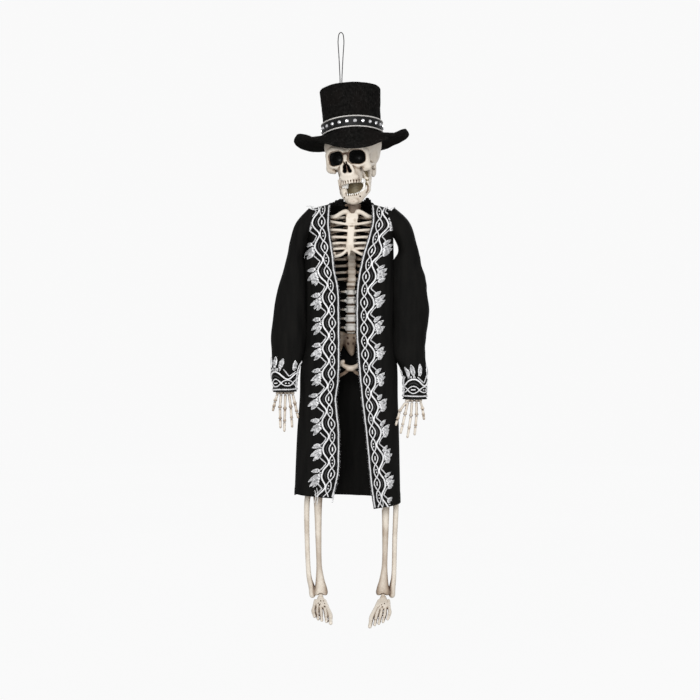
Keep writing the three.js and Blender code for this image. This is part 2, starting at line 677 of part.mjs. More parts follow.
function makeArm(name) {
  const { shoulder, bend, elbow, wrist, fingerY } = ARMS[name];
  const [elbowX, elbowDrop] = elbow;
  addPiece(`upper_arm_${name}`, bar([
    [shoulder[0], 0.5, shoulder[1] + 2.6, 2.2, 2.2],
    [bend[0], 0, bend[1] + 3, 2, 2],
    [lerp(bend[0], elbowX, 0.55), 0, 195, 1.8, 1.8],
    [elbowX, -1, elbowDrop - 3, 3.2, 2.2],
  ], { steps: 6, sides: 6 }), BONE);
  addPiece(`forearm_${name}`, bar([
    [elbowX, -1, elbowDrop - 3 + GAP * 2, 3.2, 2.4],
    [lerp(elbowX, wrist[0], 0.3), -2, lerp(elbowDrop, wrist[1], 0.3), 3, 1.7],
    [wrist[0], -4, wrist[1] - 3, 4, 2],
  ], { steps: 4, sides: 6 }), BONE);

  const knuckleDrop = wrist[1] + 5;
  const forms = [bar([
    [wrist[0], -4, wrist[1] - 3 + GAP, 3.6, 1.9],
    [wrist[0], -4, knuckleDrop - 2, 6, 1.6],
    [wrist[0], -4, knuckleDrop + 1.4, 7, 1.2],
  ], { sides: 6 })];
  for (const [knuckleX, middleX, tipX, tipDrop] of FINGERS[name]) {
    const middleDrop = lerp(knuckleDrop, tipDrop, 0.4);
    forms.push(bar([
      [lerp(wrist[0], knuckleX, 0.8), -4, knuckleDrop - 3, 0.9, 0.9],
      [knuckleX, lerp(-4, fingerY, 0.3), knuckleDrop, 1.25, 1.2],
      [middleX, lerp(-4, fingerY, 0.85), middleDrop, 1.15, 1.15],
      [lerp(middleX, tipX, 0.5), fingerY, lerp(middleDrop, tipDrop, 0.5), 0.95, 0.95],
      [tipX, lerp(-4, fingerY, 0.9), tipDrop, 0.6, 0.6],
    ], { steps: 3, sides: 5 }));
  }
  addPiece(`hand_${name}`, geometryOf(united(forms)), BONE);
}

function makeLeg(name) {
  const { side, knee, ankle, fibula } = LEGS[name];
  const hipX = PELVIS_X + side * (HIP_SPREAD + 3.2);
  addPiece(`thigh_${name}`, bar([
    [hipX - side * 1.2, 0, HIP_DROP - 2, 2.6, 2.6],
    [hipX + side * 1.4, 0, HIP_DROP + 4, 2.6, 2.4],
    [lerp(hipX, knee, 0.3), -0.6, 300, 2.2, 2.2],
    [lerp(hipX, knee, 0.7), -0.8, 335, 2.2, 2.2],
    [knee, -1, 356, 4, 3.4],
    [knee, -1, KNEE_DROP - 0.6, 4.6, 4],
  ], { steps: 6, sides: 7 }), BONE);

  const forms = [
    bar([
      [knee, -1, KNEE_DROP, 5, 4.2],
      [knee, -1, 373, 4.6, 3.6],
      [knee, -1, 388, 3.3, 2.9],
      [lerp(knee, ankle, 0.15), -1, 415, 2.5, 2.4],
      [lerp(knee, ankle, 0.4), -1, 437, 2.3, 2.4],
      [lerp(knee, ankle, 0.75), -1, 449, 3.6, 2.8],
      [ankle, -1, 456, 5, 3.2],
      [ankle, -1, ANKLE_DROP, 5.7, 3.4],
    ], { steps: 8, sides: 8 }),
    bar([
      [lerp(fibula[0], knee, 0.35), 0, 374, 2.4, 2],
      [fibula[0], 0, 385, 2.4, 1.9],
      [fibula[1], 0, 415, 1.9, 1.7],
      [lerp(fibula[1], fibula[2], 0.3), 0, 444, 1.9, 1.8],
      [lerp(fibula[1], fibula[2], 0.85), 0, 456, 2.4, 2.1],
      [fibula[2], 0, ANKLE_DROP + 2.4, 2.3, 1.8],
    ], { steps: 6, sides: 6 }),
  ];
  addPiece(`shin_${name}`, geometryOf(united(forms)), BONE);
}

// A foot hangs with its toes down: ankle, heel and arch, then five toes in a fan.
function makeFoot(name) {
  const { side, ankle } = LEGS[name];
  const toes = TOES[name];
  const top = ANKLE_DROP + GAP;
  const heel = bar([
    [ankle, 12, 470, 2.8, 3.2],
    [ankle, 6, 468.6, 3.4, 4],
    [ankle, -3, 466, 4, 4.4],
    [ankle + side * 0.5, -10, 467.2, 5.2, 3],
    [ankle + side * 0.5, -15, 469, 5.4, 2],
  ], { steps: 4, sides: 7 });
  const ankleBone = bar([
    [ankle + side * 0.8, -1.6, top - 3, 2.8, 2.8],
    [ankle + side * 0.6, -2, top + 6, 4.2, 3.4],
  ]);
  const forms = [heel, ankleBone];
  toes.forEach(([tipX, tipDrop], i) => {
    const fromMiddle = i - 2;
    const rootX = ankle + side * (0.5 + fromMiddle * 1.9);
    const ballX = lerp(rootX, tipX, 0.62) + side * fromMiddle * 0.7;
    const thick = i === 0 ? 1.3 : 1;
    const front = TOE_FRONT_Y + i * 1.5;
    const at = (share) => [lerp(-9, front, share), lerp(465, tipDrop, share)];
    forms.push(bar([
      [rootX, ...at(0), 1.5, 1.5],
      [lerp(rootX, ballX, 0.6), ...at(0.36), 1.4 * thick, 1.4],
      [ballX, ...at(0.64), 1.75 * thick, 1.6],
      [lerp(ballX, tipX, 0.6), ...at(0.84), 1.35 * thick, 1.2],
      [tipX, front, tipDrop - 0.8, 1.3 * thick, 1],
    ], { steps: 4, sides: 4 }));
  });
  const aboveAnkle = block(ankle, 0, 20 - top, 40, 60, 40);
  addPiece(`foot_${name}`, geometryOf(without(united(forms), [aboveAnkle])), BONE);
}

// How far the coat stands out, in front or behind, at a place x and a drop.
function coatDepth(x, drop, behind) {
  const leftX = curveAt(COAT_SIDE.left, drop);
  const rightX = curveAt(COAT_SIDE.right, drop);
  const half = x > COAT_MIDDLE_X ? leftX - COAT_MIDDLE_X : COAT_MIDDLE_X - rightX;
  const across = clamp(Math.abs(x - COAT_MIDDLE_X) / half, 0, 1);
  const section = (1 - across ** COAT_SECTION_POWER) ** (1 / COAT_SECTION_POWER);
  const fromNeck = Math.abs(x - COAT_MIDDLE_X) - NECK_HALF_WIDTH;
  const collar = behind ? clamp(-fromNeck / 8, 0, 1) * COLLAR_RISE : 0;
  const shoulderShare = clamp(fromNeck / 18, 0, 1);
  const ridge = lerp(SHOULDER_DROPS[0], SHOULDER_DROPS[1], shoulderShare) - collar;
  const below = clamp((drop - ridge) / SHOULDER_ROUNDING, 0, 1);
  const rounding = Math.sqrt(1 - (1 - below) ** 2);
  return curveAt(COAT_HALF_DEPTH, drop) * section * Math.max(rounding, 0.04);
}

// A point of the coat's surface, moved outward by a distance.
function coatPoint(x, drop, behind, outward = 0) {
  const face = behind ? 1 : -1;
  const step = 0.5;
  const depth = coatDepth(x, drop, behind);
  const slopeX = (coatDepth(x + step, drop, behind) - coatDepth(x - step, drop, behind)) / (2 * step);
  const slopeDrop = (coatDepth(x, drop + step, behind) - coatDepth(x, drop - step, behind)) / (2 * step);
  const normal = vec(-slopeX, face, slopeDrop).normalize();
  const point = vec(x, COAT_MIDDLE_Y + face * depth, -drop).addScaledVector(normal, outward);
  const nearest = COAT_MIDDLE_Y + face * GAP;
  point.y = behind ? Math.max(point.y, nearest) : Math.min(point.y, nearest);
  return point;
}

// Across a panel: 0 at the side seam and 1 at the far edge, close together near the seam.
function acrossPanel(seamX, edgeX, share) {
  return lerp(seamX, edgeX, 1 - Math.cos(share * Math.PI / 2));
}

function frontSheet(name, low, high) {
  const columns = 4;
  const rows = 9;
  const grid = (outward) => Array.from({ length: rows + 1 }, (_, i) => {
    const down = (i / rows) ** 1.35;
    return Array.from({ length: columns + 1 }, (__, j) => {
      const share = j / columns;
      const top = lerp(SHOULDER_DROPS[1], SHOULDER_DROPS[0], share);
      const hem = lerp(COAT_HEM[name][0], COAT_HEM[name][1], share);
      const drop = lerp(top, hem, down);
      const seamX = curveAt(COAT_SIDE[name], drop);
      const edgeX = curveAt(COAT_EDGE[name], drop);
      const x = acrossPanel(seamX, edgeX, share);
      return coatPoint(x, drop, false, outward);
    });
  });
  return sheetBetween(grid(high), grid(low));
}

function backSheet() {
  const columns = 8;
  const rows = 7;
  const grid = (outward) => Array.from({ length: rows + 1 }, (_, i) => {
    const down = (i / rows) ** 1.35;
    return Array.from({ length: columns + 1 }, (__, j) => {
      const share = j / columns * 2 - 1;
      const shape = Math.sin(share * Math.PI / 2);
      const arm = clamp((Math.abs(shape) - 0.45) / 0.55, 0, 1);
      const hem = lerp(COAT_BACK_HEM.right, COAT_BACK_HEM.left, (shape + 1) / 2);
      const drop = lerp(lerp(SHOULDER_DROPS[0], SHOULDER_DROPS[1], arm), hem, down);
      const seamX = curveAt(shape < 0 ? COAT_SIDE.right : COAT_SIDE.left, drop);
      const x = lerp(COAT_MIDDLE_X, seamX, Math.abs(shape));
      return coatPoint(x, drop, true, outward);
    });
  });
  return sheetBetween(grid(0), grid(-CLOTH));
}

// The outer form of the whole coat body, for cutting the sleeves' tops to it.
function coatBody() {
  const rings = [];
  const sides = 16;
  for (const drop of [141, 146, 152, 160, 172, 190, 215, 260, 300, 395]) {
    const ring = [];
    for (let j = 0; j < sides; j += 1) {
      const turn = j / sides * 2 * Math.PI;
      const seamX = curveAt(Math.cos(turn) < 0 ? COAT_SIDE.right : COAT_SIDE.left, drop);
      const x = lerp(COAT_MIDDLE_X, seamX, Math.abs(Math.cos(turn)));
      const behind = Math.sin(turn) > 0;
      const depth = Math.max(coatDepth(x, drop, behind), 2) + 3 * GAP;
      const y = COAT_MIDDLE_Y + Math.sign(Math.sin(turn)) * depth * Math.min(1, Math.abs(Math.sin(turn)) * 9);
      ring.push(vec(x + Math.sign(Math.cos(turn)) * Math.abs(Math.cos(turn)) * 3 * GAP, y, -drop));
    }
    rings.push(ring);
  }
  return loft(rings);
}

function makeCoat() {
  const armholes = [];
  for (const name of ['right', 'left']) {
    const { shoulder, bend } = ARMS[name];
    armholes.push(bar([
      [shoulder[0], 0, shoulder[1] + 3, 5, 6],
      [lerp(shoulder[0], bend[0], 0.6), 0, lerp(shoulder[1], bend[1], 0.6) + 4, 5.4, 6],
      [bend[0] + ARMS[name].side * 4, 0, bend[1] + 12, 5.4, 6],
    ], { sides: 8 }));
  }
  addPiece('coat_back', geometryOf(without(solidOf(backSheet()), armholes)), CLOTH_LOOK);
  for (const name of ['right', 'left']) {
    const panel = without(solidOf(frontSheet(name, -CLOTH, 0)), armholes);
    addPiece(`coat_front_${name}`, geometryOf(panel), CLOTH_LOOK);
  }
  for (const name of ['right', 'left']) {
    const outer = ringsAlong(SLEEVES[name], SLEEVE_STEPS, SLEEVE_SIDES, ACROSS);
    const inner = ringsAlong(SLEEVES[name], SLEEVE_STEPS, SLEEVE_SIDES, ACROSS, -CLOTH);
    const wall = solidOf(loft([...outer, ...inner.reverse()], true));
    addPiece(`sleeve_${name}`, geometryOf(wall.subtract(solidOf(coatBody()))), CLOTH_LOOK);
  }
}

// The border's outline seen from the front: its outer side waves with the vine and reaches
// out to a cluster of leaves once in each motif.
function borderPlan(name) {
  const side = ARMS[name].side;
  const hem = COAT_HEM[name][1] - 1.5;
  const drops = [BORDER_TOP_DROP];
  for (let drop = MOTIF_FIRST_DROP; drop < hem - 3; drop += MOTIF_LENGTH / 2) {
    drops.push(drop);
  }
  drops.push(hem);
  const near = [];
  const far = [];
  for (const drop of drops) {
    const phase = (drop - MOTIF_FIRST_DROP) / MOTIF_LENGTH * 2 * Math.PI;
    const reach = lerp(VINE_NEAR, LEAF_REACH, ((1 + Math.cos(phase)) / 2) ** 1.5);
    const edgeX = curveAt(COAT_EDGE[name], drop);
    near.unshift(new THREE.Vector2(edgeX + side * BORDER_INSET, drop));
    far.push(new THREE.Vector2(edgeX + side * reach * curveAt(BORDER_SHARE[name], drop), drop));
  }
  const plan = new THREE.ExtrudeGeometry(new THREE.Shape([...far, ...near]), { depth: 60, bevelEnabled: false });
  plan.rotateX(-Math.PI / 2);
  plan.translate(0, -60, 0);
  return plan;
}

function makeBorder(name) {
  const layer = solidOf(frontSheet(name, GAP, GAP + BORDER_THICK));
  const band = layer.intersect(solidOf(borderPlan(name)));
  const sleeve = loft(ringsAlong(SLEEVES[name], SLEEVE_STEPS, SLEEVE_SIDES, ACROSS, GAP));
  addPiece(`border_${name}`, geometryOf(without(band, [sleeve])), BORDER_LOOK);
}

// The embroidered band round the foot of a sleeve.
function makeCuff(name) {
  const [top, foot] = CUFF_DROPS[name];
  const rows = [0, 1].map((t) => {
    const rowTop = SLEEVES[name].at(-2);
    const rowFoot = SLEEVES[name].at(-1);
    return rowTop.map((value, k) => lerp(value, rowFoot[k], t));
  });
  rows[0][2] = top;
  rows[1][2] = foot - 1.5;
  const outer = ringsAlong(rows, 2, SLEEVE_SIDES, ACROSS, GAP + BORDER_THICK + 0.3);
  const inner = ringsAlong(rows, 2, SLEEVE_SIDES, ACROSS, GAP + 0.3);
  addPiece(`cuff_border_${name}`, loft([...outer, ...inner.reverse()], true), BORDER_LOOK);
}

makeLoop();
makeHat();
makeHead();
makeSpine();
makeRibCage();
makePelvis();
for (const name of ['right', 'left']) {
  makeArm(name);
  makeLeg(name);
  makeFoot(name);
}
makeCoat();
for (const name of ['right', 'left']) {
  makeBorder(name);
  makeCuff(name);
}

export default figure;
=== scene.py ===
"""A plastic skeleton in an open embroidered coat and a felt top hat, hung up by a thread loop.

Lengths are in millimetres and become metres only where a mesh is made.
A drop is a distance straight down from the top of the loop, so z is minus the drop.
Left and right are the figure's own: its left side lies at +X.
"""
import math
from functools import partial

import bpy
import numpy as np
from mathutils import Euler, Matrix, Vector


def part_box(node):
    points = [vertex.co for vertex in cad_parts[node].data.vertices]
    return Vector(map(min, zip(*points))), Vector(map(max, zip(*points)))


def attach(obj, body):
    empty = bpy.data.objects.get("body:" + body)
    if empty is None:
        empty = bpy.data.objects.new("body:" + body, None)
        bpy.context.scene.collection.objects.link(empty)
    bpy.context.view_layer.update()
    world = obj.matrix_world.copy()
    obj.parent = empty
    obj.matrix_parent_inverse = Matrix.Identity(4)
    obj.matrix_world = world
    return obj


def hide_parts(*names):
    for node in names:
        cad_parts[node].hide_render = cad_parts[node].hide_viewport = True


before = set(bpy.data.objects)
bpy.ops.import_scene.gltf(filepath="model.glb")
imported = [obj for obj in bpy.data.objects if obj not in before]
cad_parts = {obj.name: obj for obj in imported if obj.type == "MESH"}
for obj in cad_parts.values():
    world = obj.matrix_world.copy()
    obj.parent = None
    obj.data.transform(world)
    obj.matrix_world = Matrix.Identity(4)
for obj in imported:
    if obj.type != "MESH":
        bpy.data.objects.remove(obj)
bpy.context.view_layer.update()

MM = 0.001
RIGHT, LEFT = -1, 1
SIDES = {"right": RIGHT, "left": LEFT}

# The photograph's frame: one picture unit is 0.82 mm at the figure, and its middle is here.
VIEW_MIDDLE = (7.4, -260.8)
VIEW_WIDTH = 574.0
VIEW_DISTANCE = 1300.0
SENSOR = 36.0
BACKDROP_WHITE = 0.95
FLOOR_Z = -640.0

# The same driving sizes as the solids
THREAD_DIAMETER = 0.9
LOOP_RADIUS = 1.9
LOOP_FOOT_DROP = 47.0
LOOP_FOOT_SPREAD = 0.62

HAT_BASE = (9.5, 0.0, -84.6)
HAT_ROLL = math.radians(-3.2)
HAT_TILT_BACK = math.radians(-3.5)
CROWN_HEIGHT = 37.8
CROWN_RADIUS = 23.9
CROWN_OVAL = 0.17 * CROWN_RADIUS
CROWN_FLARE = 1.0
CROWN_EDGE = 1.3
FELT = 1.5
BRIM_WAVE = 2.6
HAT_SIDE_DROP = 1.7

HEAD_AT = (10.2, 0.0, -94.0)
HEAD_YAW = math.radians(-14)
HEAD_ROLL = math.radians(-4)

SPINE_X, SPINE_Y = 9.0, 10.0
PELVIS_X = 8.0

COAT_SIDE = {
    "right": [(141, -24), (150, -26.5), (172, -26.5), (187, -30), (215, -28.7), (255, -29), (275, -33),
              (300, -33.8), (330, -36), (391, -38.5)],
    "left": [(141, 40), (150, 42), (172, 43), (215, 43.5), (258, 43.8), (275, 46.2), (300, 46.6),
             (330, 47.6), (391, 48.8)],
}
COAT_EDGE = {
    "right": [(141, -8), (157, -9.1), (170, -7.9), (184, -5.9), (196, -4.6), (212, -1.4), (228, -0.9),
              (265, -0.7), (285, -1.3), (301, -3.3), (309, -2.7), (325, -0.9), (346, -0.7), (362, -1.6),
              (386, -7.6)],
    "left": [(141, 24.6), (157, 25), (170, 21.9), (184, 17.7), (196, 14.9), (212, 12.6), (240, 12.1),
             (253, 12.4), (277, 14.3), (301, 16.7), (325, 19.5), (346, 21.7), (374, 24.4), (391, 27)],
}
BORDER_SHARE = {
    "right": [(146, 1), (391, 1)],
    "left": [(146, 0.97), (230, 1.05), (262, 1.04), (285, 0.95), (330, 0.9), (391, 0.86)],
}
COAT_HEM = {"right": (377.5, 380.6), "left": (385.2, 389.2)}
COAT_BACK_HEM = {"right": 379.6, "left": 383}
COAT_HALF_DEPTH = [(141, 22.5), (190, 23), (225, 20), (270, 18), (330, 19), (391, 20.5)]
COAT_MIDDLE_X, COAT_MIDDLE_Y = 8.2, -1.0
COAT_POWER = 2.4
CLOTH = 0.8
NECK_HALF_WIDTH = 17.3
SHOULDER_DROPS = (141, 147.5)
SHOULDER_ROUNDING = 26
COLLAR_RISE = 10
COLLAR_TOP = [(-9, 141), (-4.5, 138.2), (-0.5, 136.6), (3, 137.8), (5.3, 139.4), (11, 140.2), (17, 138.2),
              (20.7, 136.9), (23.2, 138), (26, 140.8)]
SLEEVES = {
    "right": [(-20, 0, 150.5, 8.6, 9.5), (-30, 0, 161, 8.2, 11), (-34.5, 0, 174, 7.4, 11),
              (-38, 0, 188, 7.4, 11), (-39.7, -1, 205, 9.8, 12), (-42.6, -1, 227, 12.7, 12.5),
              (-43.6, -2, 250, 13.4, 12), (-44, -3, 266, 12.6, 11), (-46, -4, 279, 10.7, 10.5),
              (-45.8, -4, 294.5, 9.2, 8.6)],
    "left": [(38, 0, 150.5, 8.6, 9.5), (48.6, 0, 161, 9, 11), (54.4, 0, 175, 7.8, 11),
             (55.3, 0, 188, 10.4, 11), (57.2, -1, 206, 12.4, 12), (58.3, -1, 227, 13.5, 12.5),
             (57.6, -2, 247, 12.7, 12), (57.6, -3, 264, 11.8, 11), (60.3, -4, 281, 10, 10),
             (60.4, -4, 300.5, 9.4, 8.6)],
}
MOTIF_LENGTH = 20.3
BORDER_TOP_DROP = 143.5
# The first beat's drop, the motif's length, the way the leaves lean, and a seed
BORDER_MOTIFS = {"right": (157.3, 20.4, 1, 41), "left": (160.0, 20.9, -1, 43)}
# The first beat round the cuff, and how far up from the sleeve's foot the tape starts
CUFF_MOTIFS = {"right": (2.4, 1.4), "left": (11.0, 2.2)}
CUFF_RADIUS = 9.0
CUFF_LOOPS = 30


# Curves, grids and meshes

def curve_at(rows, key):
    """The smooth curve through rows of (key, value), read at any keys."""
    keys = np.array([row[0] for row in rows], float)
    values = np.array([row[1] for row in rows], float)
    before = np.maximum(np.arange(len(rows)) - 1, 0)
    after = np.minimum(np.arange(len(rows)) + 1, len(rows) - 1)
    slopes = (values[after] - values[before]) / (keys[after] - keys[before])
    spot = np.clip(key, keys[0], keys[-1])
    i = np.clip(np.searchsorted(keys, spot) - 1, 0, len(rows) - 2)
    span = keys[i + 1] - keys[i]
    t = (spot - keys[i]) / span
    ease = t * t * (3 - 2 * t)
    lead = t * (1 - t) ** 2 * span * slopes[i]
    trail = t * t * (1 - t) * span * slopes[i + 1]
    return values[i] + (values[i + 1] - values[i]) * ease + lead - trail


def row_at(rows, t):
    """Reads smoothly between rows of numbers: t is 0 at the first row and 1 at the last."""
    table = np.array(rows, float)
    last = len(table) - 1
    place = np.clip(np.asarray(t, float), 0, 1) * last
    i = np.minimum(place.astype(int), last - 1)
    f = (place - i)[..., None]
    a, b = table[np.maximum(i - 1, 0)], table[i]
    c, d = table[i + 1], table[np.minimum(i + 2, last)]
    bend = 2 * a - 5 * b + 4 * c - d
    twist = 3 * b - a - 3 * c + d
    return 0.5 * (2 * b + (c - a) * f + bend * f ** 2 + twist * f ** 3)


def lerp(low, high, share):
    return low + (high - low) * share


def ramp(value, low, high):
    """0 below low and 1 above high, smooth between."""
    share = np.clip((value - low) / (high - low), 0, 1)
    return share * share * (3 - 2 * share)


def unit(vectors):
    return vectors / np.maximum(np.linalg.norm(vectors, axis=-1, keepdims=True), 1e-12)


def walked_along(line):
    """How far along a line each of its points lies."""
    return np.concatenate([[0], np.cumsum(np.linalg.norm(np.diff(line, axis=0), axis=1))])


def waves(*places, seed, count=6, longest=30.0):
    """Soft irregular waves of about -1 to 1 over places in millimetres."""
    source = np.random.default_rng(seed)
    total = 0
    for k in range(count):
        turns = source.normal(size=len(places))
        turns *= 2 * math.pi / (longest / (1 + 0.55 * k)) / np.linalg.norm(turns)
        phase = source.uniform(0, 2 * math.pi)
        total = total + np.sin(sum(p * w for p, w in zip(places, turns)) + phase) / (1 + 0.45 * k)
    return total / math.sqrt(count)


def make_mesh(name, points, faces, material, smooth=True, colours=None):
    """An object from points in millimetres and faces of four corners: where the last corner is repeated
    the face is a triangle. Colours are the points' own values, by name."""
    points = np.asarray(points, float).reshape(-1, 3)
    faces = np.asarray(faces, np.int32)
    triangle = faces[:, 2] == faces[:, 3]
    sizes = np.where(triangle, 3, 4)
    keep = np.ones(faces.shape, bool)
    keep[:, 3] = ~triangle
    mesh = bpy.data.meshes.new(name)
    mesh.vertices.add(len(points))
    mesh.vertices.foreach_set("co", (points * MM).astype(np.float32).ravel())
    mesh.loops.add(int(sizes.sum()))
    mesh.loops.foreach_set("vertex_index", faces[keep])
    mesh.polygons.add(len(faces))
    mesh.polygons.foreach_set("loop_start", (np.cumsum(sizes) - sizes).astype(np.int32))
    mesh.polygons.foreach_set("use_smooth", np.full(len(faces), smooth))
    for key, values in (colours or {}).items():
        layer = mesh.attributes.new(key, "FLOAT", "POINT")
        layer.data.foreach_set("value", np.asarray(values, np.float32).ravel())
    mesh.update(calc_edges=True)
    mesh.validate()
    thing = bpy.data.objects.new(name, mesh)
    bpy.context.scene.collection.objects.link(thing)
    mesh.materials.append(material)
    return thing


def add_uv(thing, coordinates):
    """Lays a map over the mesh: coordinates has a pair for each point."""
    mesh = thing.data
    corners = np.empty(len(mesh.loops), np.int32)
    mesh.loops.foreach_get("vertex_index", corners)
    layer = mesh.uv_layers.new(name="cloth")
    layer.data.foreach_set("uv", np.asarray(coordinates, np.float32).reshape(-1, 2)[corners].ravel())


def piece(thing, slot, *nodes):
    """Joins a made object to the figure, in place of the solids it stands for."""
    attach(thing, "root")
    if nodes:
        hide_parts(*nodes)
    return thing


def grid_faces(rows, columns, around=False, start=0):
    """Four-cornered faces over a grid of points; around joins its last column to its first."""
    i, j = np.meshgrid(np.arange(rows - 1), np.arange(columns if around else columns - 1), indexing="ij")
    k = (j + 1) % columns
    corners = np.stack([i * columns + j, i * columns + k, (i + 1) * columns + k, (i + 1) * columns + j], -1)
    return start + corners.reshape(-1, 4)


def shell(outer, inner):
    """Points and faces of a closed sheet between two grids of points of the same shape."""
    rows, columns = outer.shape[:2]
    points = np.concatenate([outer.reshape(-1, 3), inner.reshape(-1, 3)])
    layer = rows * columns
    front = grid_faces(rows, columns)
    back = grid_faces(rows, columns, start=layer)[:, ::-1]
    rim = np.concatenate([
        np.arange(columns), np.arange(1, rows) * columns + columns - 1,
        (rows - 1) * columns + np.arange(columns - 2, -1, -1), np.arange(rows - 2, 0, -1) * columns,
    ])
    ahead = np.roll(rim, -1)
    edge = np.stack([rim, rim + layer, ahead + layer, ahead], -1)
    return points, np.concatenate([front, back, edge])


def grid_normals(points, around=False):
    """A normal for each point of a grid."""
    down = np.gradient(points, axis=0)
    if around:
        across = np.roll(points, -1, axis=1) - np.roll(points, 1, axis=1)
    else:
        across = np.gradient(points, axis=1)
    return unit(np.cross(down, across))


class Bundle:
    """Many small lofted forms that end up in one mesh."""

    def __init__(self):
        self.points = []
        self.faces = []
        self.tones = []
        self.count = 0

    def add(self, points, faces, tone=0.0):
        points = np.asarray(points, float).reshape(-1, 3)
        self.points.append(points)
        self.faces.append(np.asarray(faces) + self.count)
        self.tones.append(np.full(len(points), tone) if np.isscalar(tone) else np.ravel(tone))
        self.count += len(points)

    def loft(self, rings, tone=0.0):
        """rings is a grid of points: each row goes round once. Both ends are closed by a point."""
        rows, columns = rings.shape[:2]
        middle = rings.mean(axis=1)
        first, last = rows * columns, rows * columns + 1
        j = np.arange(columns)
        k = (j + 1) % columns
        start = np.stack([np.full(columns, first), k, j, j], -1)
        end = (rows - 1) * columns
        finish = np.stack([np.full(columns, last), end + j, end + k, end + k], -1)
        points = np.concatenate([rings.reshape(-1, 3), middle[:1], middle[-1:]])
        faces = np.concatenate([grid_faces(rows, columns, around=True), start, finish])
        self.add(points, faces, tone)

    def build(self, name, material, smooth=True):
        points, faces, tones = (np.concatenate(parts) for parts in (self.points, self.faces, self.tones))
        return make_mesh(name, points, faces, material, smooth, {"tone": tones})


# Forms built up in a field of distances, for the moulded bones

class Clay:
    """A grid of distances to a surface, in millimetres, that forms are added to and cut from."""

    FAR = 6.0

    def __init__(self, low, high, cell):
        self.low = np.array(low, float)
        self.cell = cell
        counts = np.ceil((np.array(high, float) - self.low) / cell).astype(int) + 1
        self.field = np.full(counts, self.FAR, np.float32)

    def window(self, low, high):
        first = np.clip(np.floor((low - self.low) / self.cell).astype(int), 0, self.field.shape)
        last = np.clip(np.ceil((high - self.low) / self.cell).astype(int) + 1, 0, self.field.shape)
        part = tuple(slice(a, b) for a, b in zip(first, last))
        axes = [(low + self.cell * np.arange(a, b)).astype(np.float32)
                for low, a, b in zip(self.low, first, last)]
        return part, np.meshgrid(*axes, indexing="ij", sparse=True)

    def add(self, form, blend=0.8):
        low, high, distance = form
        margin = max(3.0, blend * 1.5)
        part, axes = self.window(low - margin, high + margin)
        if self.field[part].size == 0:
            return
        mine, new = self.field[part], distance(axes)
        mix = np.clip(0.5 + 0.5 * (mine - new) / blend, 0, 1)
        self.field[part] = mine + (new - mine) * mix - blend * mix * (1 - mix)

    def cut(self, form, blend=0.5):
        low, high, distance = form
        part, axes = self.window(low - 2, high + 2)
        if self.field[part].size == 0:
            return
        mine, new = self.field[part], -distance(axes)
        mix = np.clip(0.5 + 0.5 * (new - mine) / blend, 0, 1)
        self.field[part] = mine + (new - mine) * mix + blend * mix * (1 - mix)

    def read(self, points):
        """The distance at any points, between the grid's own values."""
        place = (points - self.low) / self.cell
        place = np.clip(place, 0, np.array(self.field.shape) - 1.001)
        i = place.astype(int)
        f = place - i
        total = 0
        for dx in (0, 1):
            for dy in (0, 1):
                for dz in (0, 1):
                    weight = (np.where(dx, f[:, 0], 1 - f[:, 0]) * np.where(dy, f[:, 1], 1 - f[:, 1])
                              * np.where(dz, f[:, 2], 1 - f[:, 2]))
                    total = total + weight * self.field[i[:, 0] + dx, i[:, 1] + dy, i[:, 2] + dz]
        return total

    def skin(self):
        """Points and four-cornered faces where the distance is zero, and how hollow each point lies."""
        field = self.field
        inside = field < 0
        corners = [(dx, dy, dz) for dx in (0, 1) for dy in (0, 1) for dz in (0, 1)]
        shape = tuple(n - 1 for n in field.shape)
        filled = sum(inside[dx:dx + shape[0], dy:dy + shape[1], dz:dz + shape[2]].astype(np.int8)
                     for dx, dy, dz in corners)
        cells = np.argwhere((filled > 0) & (filled < 8))
        values = np.stack([field[cells[:, 0] + dx, cells[:, 1] + dy, cells[:, 2] + dz]
                           for dx, dy, dz in corners], 1)
        spots = np.array(corners, float)
        total = np.zeros((len(cells), 3))
        hits = np.zeros(len(cells))
        for a in range(8):
            for b in range(a + 1, 8):
                if np.abs(spots[a] - spots[b]).sum() != 1:
                    continue
                crossing = (values[:, a] < 0) != (values[:, b] < 0)
                share = values[:, a] / np.where(crossing, values[:, a] - values[:, b], 1)
                spot = spots[a] + share[:, None] * (spots[b] - spots[a])
                total += np.where(crossing[:, None], spot, 0)
                hits += crossing
        points = self.low + self.cell * (cells + total / hits[:, None])
        number = np.full(shape, -1, np.int32)
        number[tuple(cells.T)] = np.arange(len(cells))
        faces = []
        for u in range(3):
            v, w = (u + 1) % 3, (u + 2) % 3
            low_part = [slice(1, -1)] * 3
            high_part = [slice(1, -1)] * 3
            low_part[u], high_part[u] = slice(0, -1), slice(1, None)
            low_in, high_in = inside[tuple(low_part)], inside[tuple(high_part)]
            base = np.argwhere(low_in != high_in)
            leaving = low_in[tuple(base.T)]
            base[:, v] += 1
            base[:, w] += 1
            quad = []
            for dv, dw in ((-1, -1), (0, -1), (0, 0), (-1, 0)):
                cell = base.copy()
                cell[:, v] += dv
                cell[:, w] += dw
                quad.append(number[tuple(cell.T)])
            quad = np.stack(quad, 1)
            faces.append(np.where(leaving[:, None], quad, quad[:, ::-1]))
        faces = np.concatenate(faces)
        step = self.cell * 0.7
        slopes = [self.read(points + step * axis) - self.read(points - step * axis) for axis in np.eye(3)]
        normals = unit(np.stack(slopes, 1))
        hollow = 0
        for reach in (0.8, 1.6, 2.8):
            hollow = hollow + np.clip(1 - self.read(points + normals * reach) / reach, 0, 1) / 3
        return points, faces, hollow


def turned(x=0, y=0, z=0):
    """A turn in degrees about x, then y, then z."""
    return np.array(Euler([math.radians(a) for a in (x, y, z)]).to_matrix())


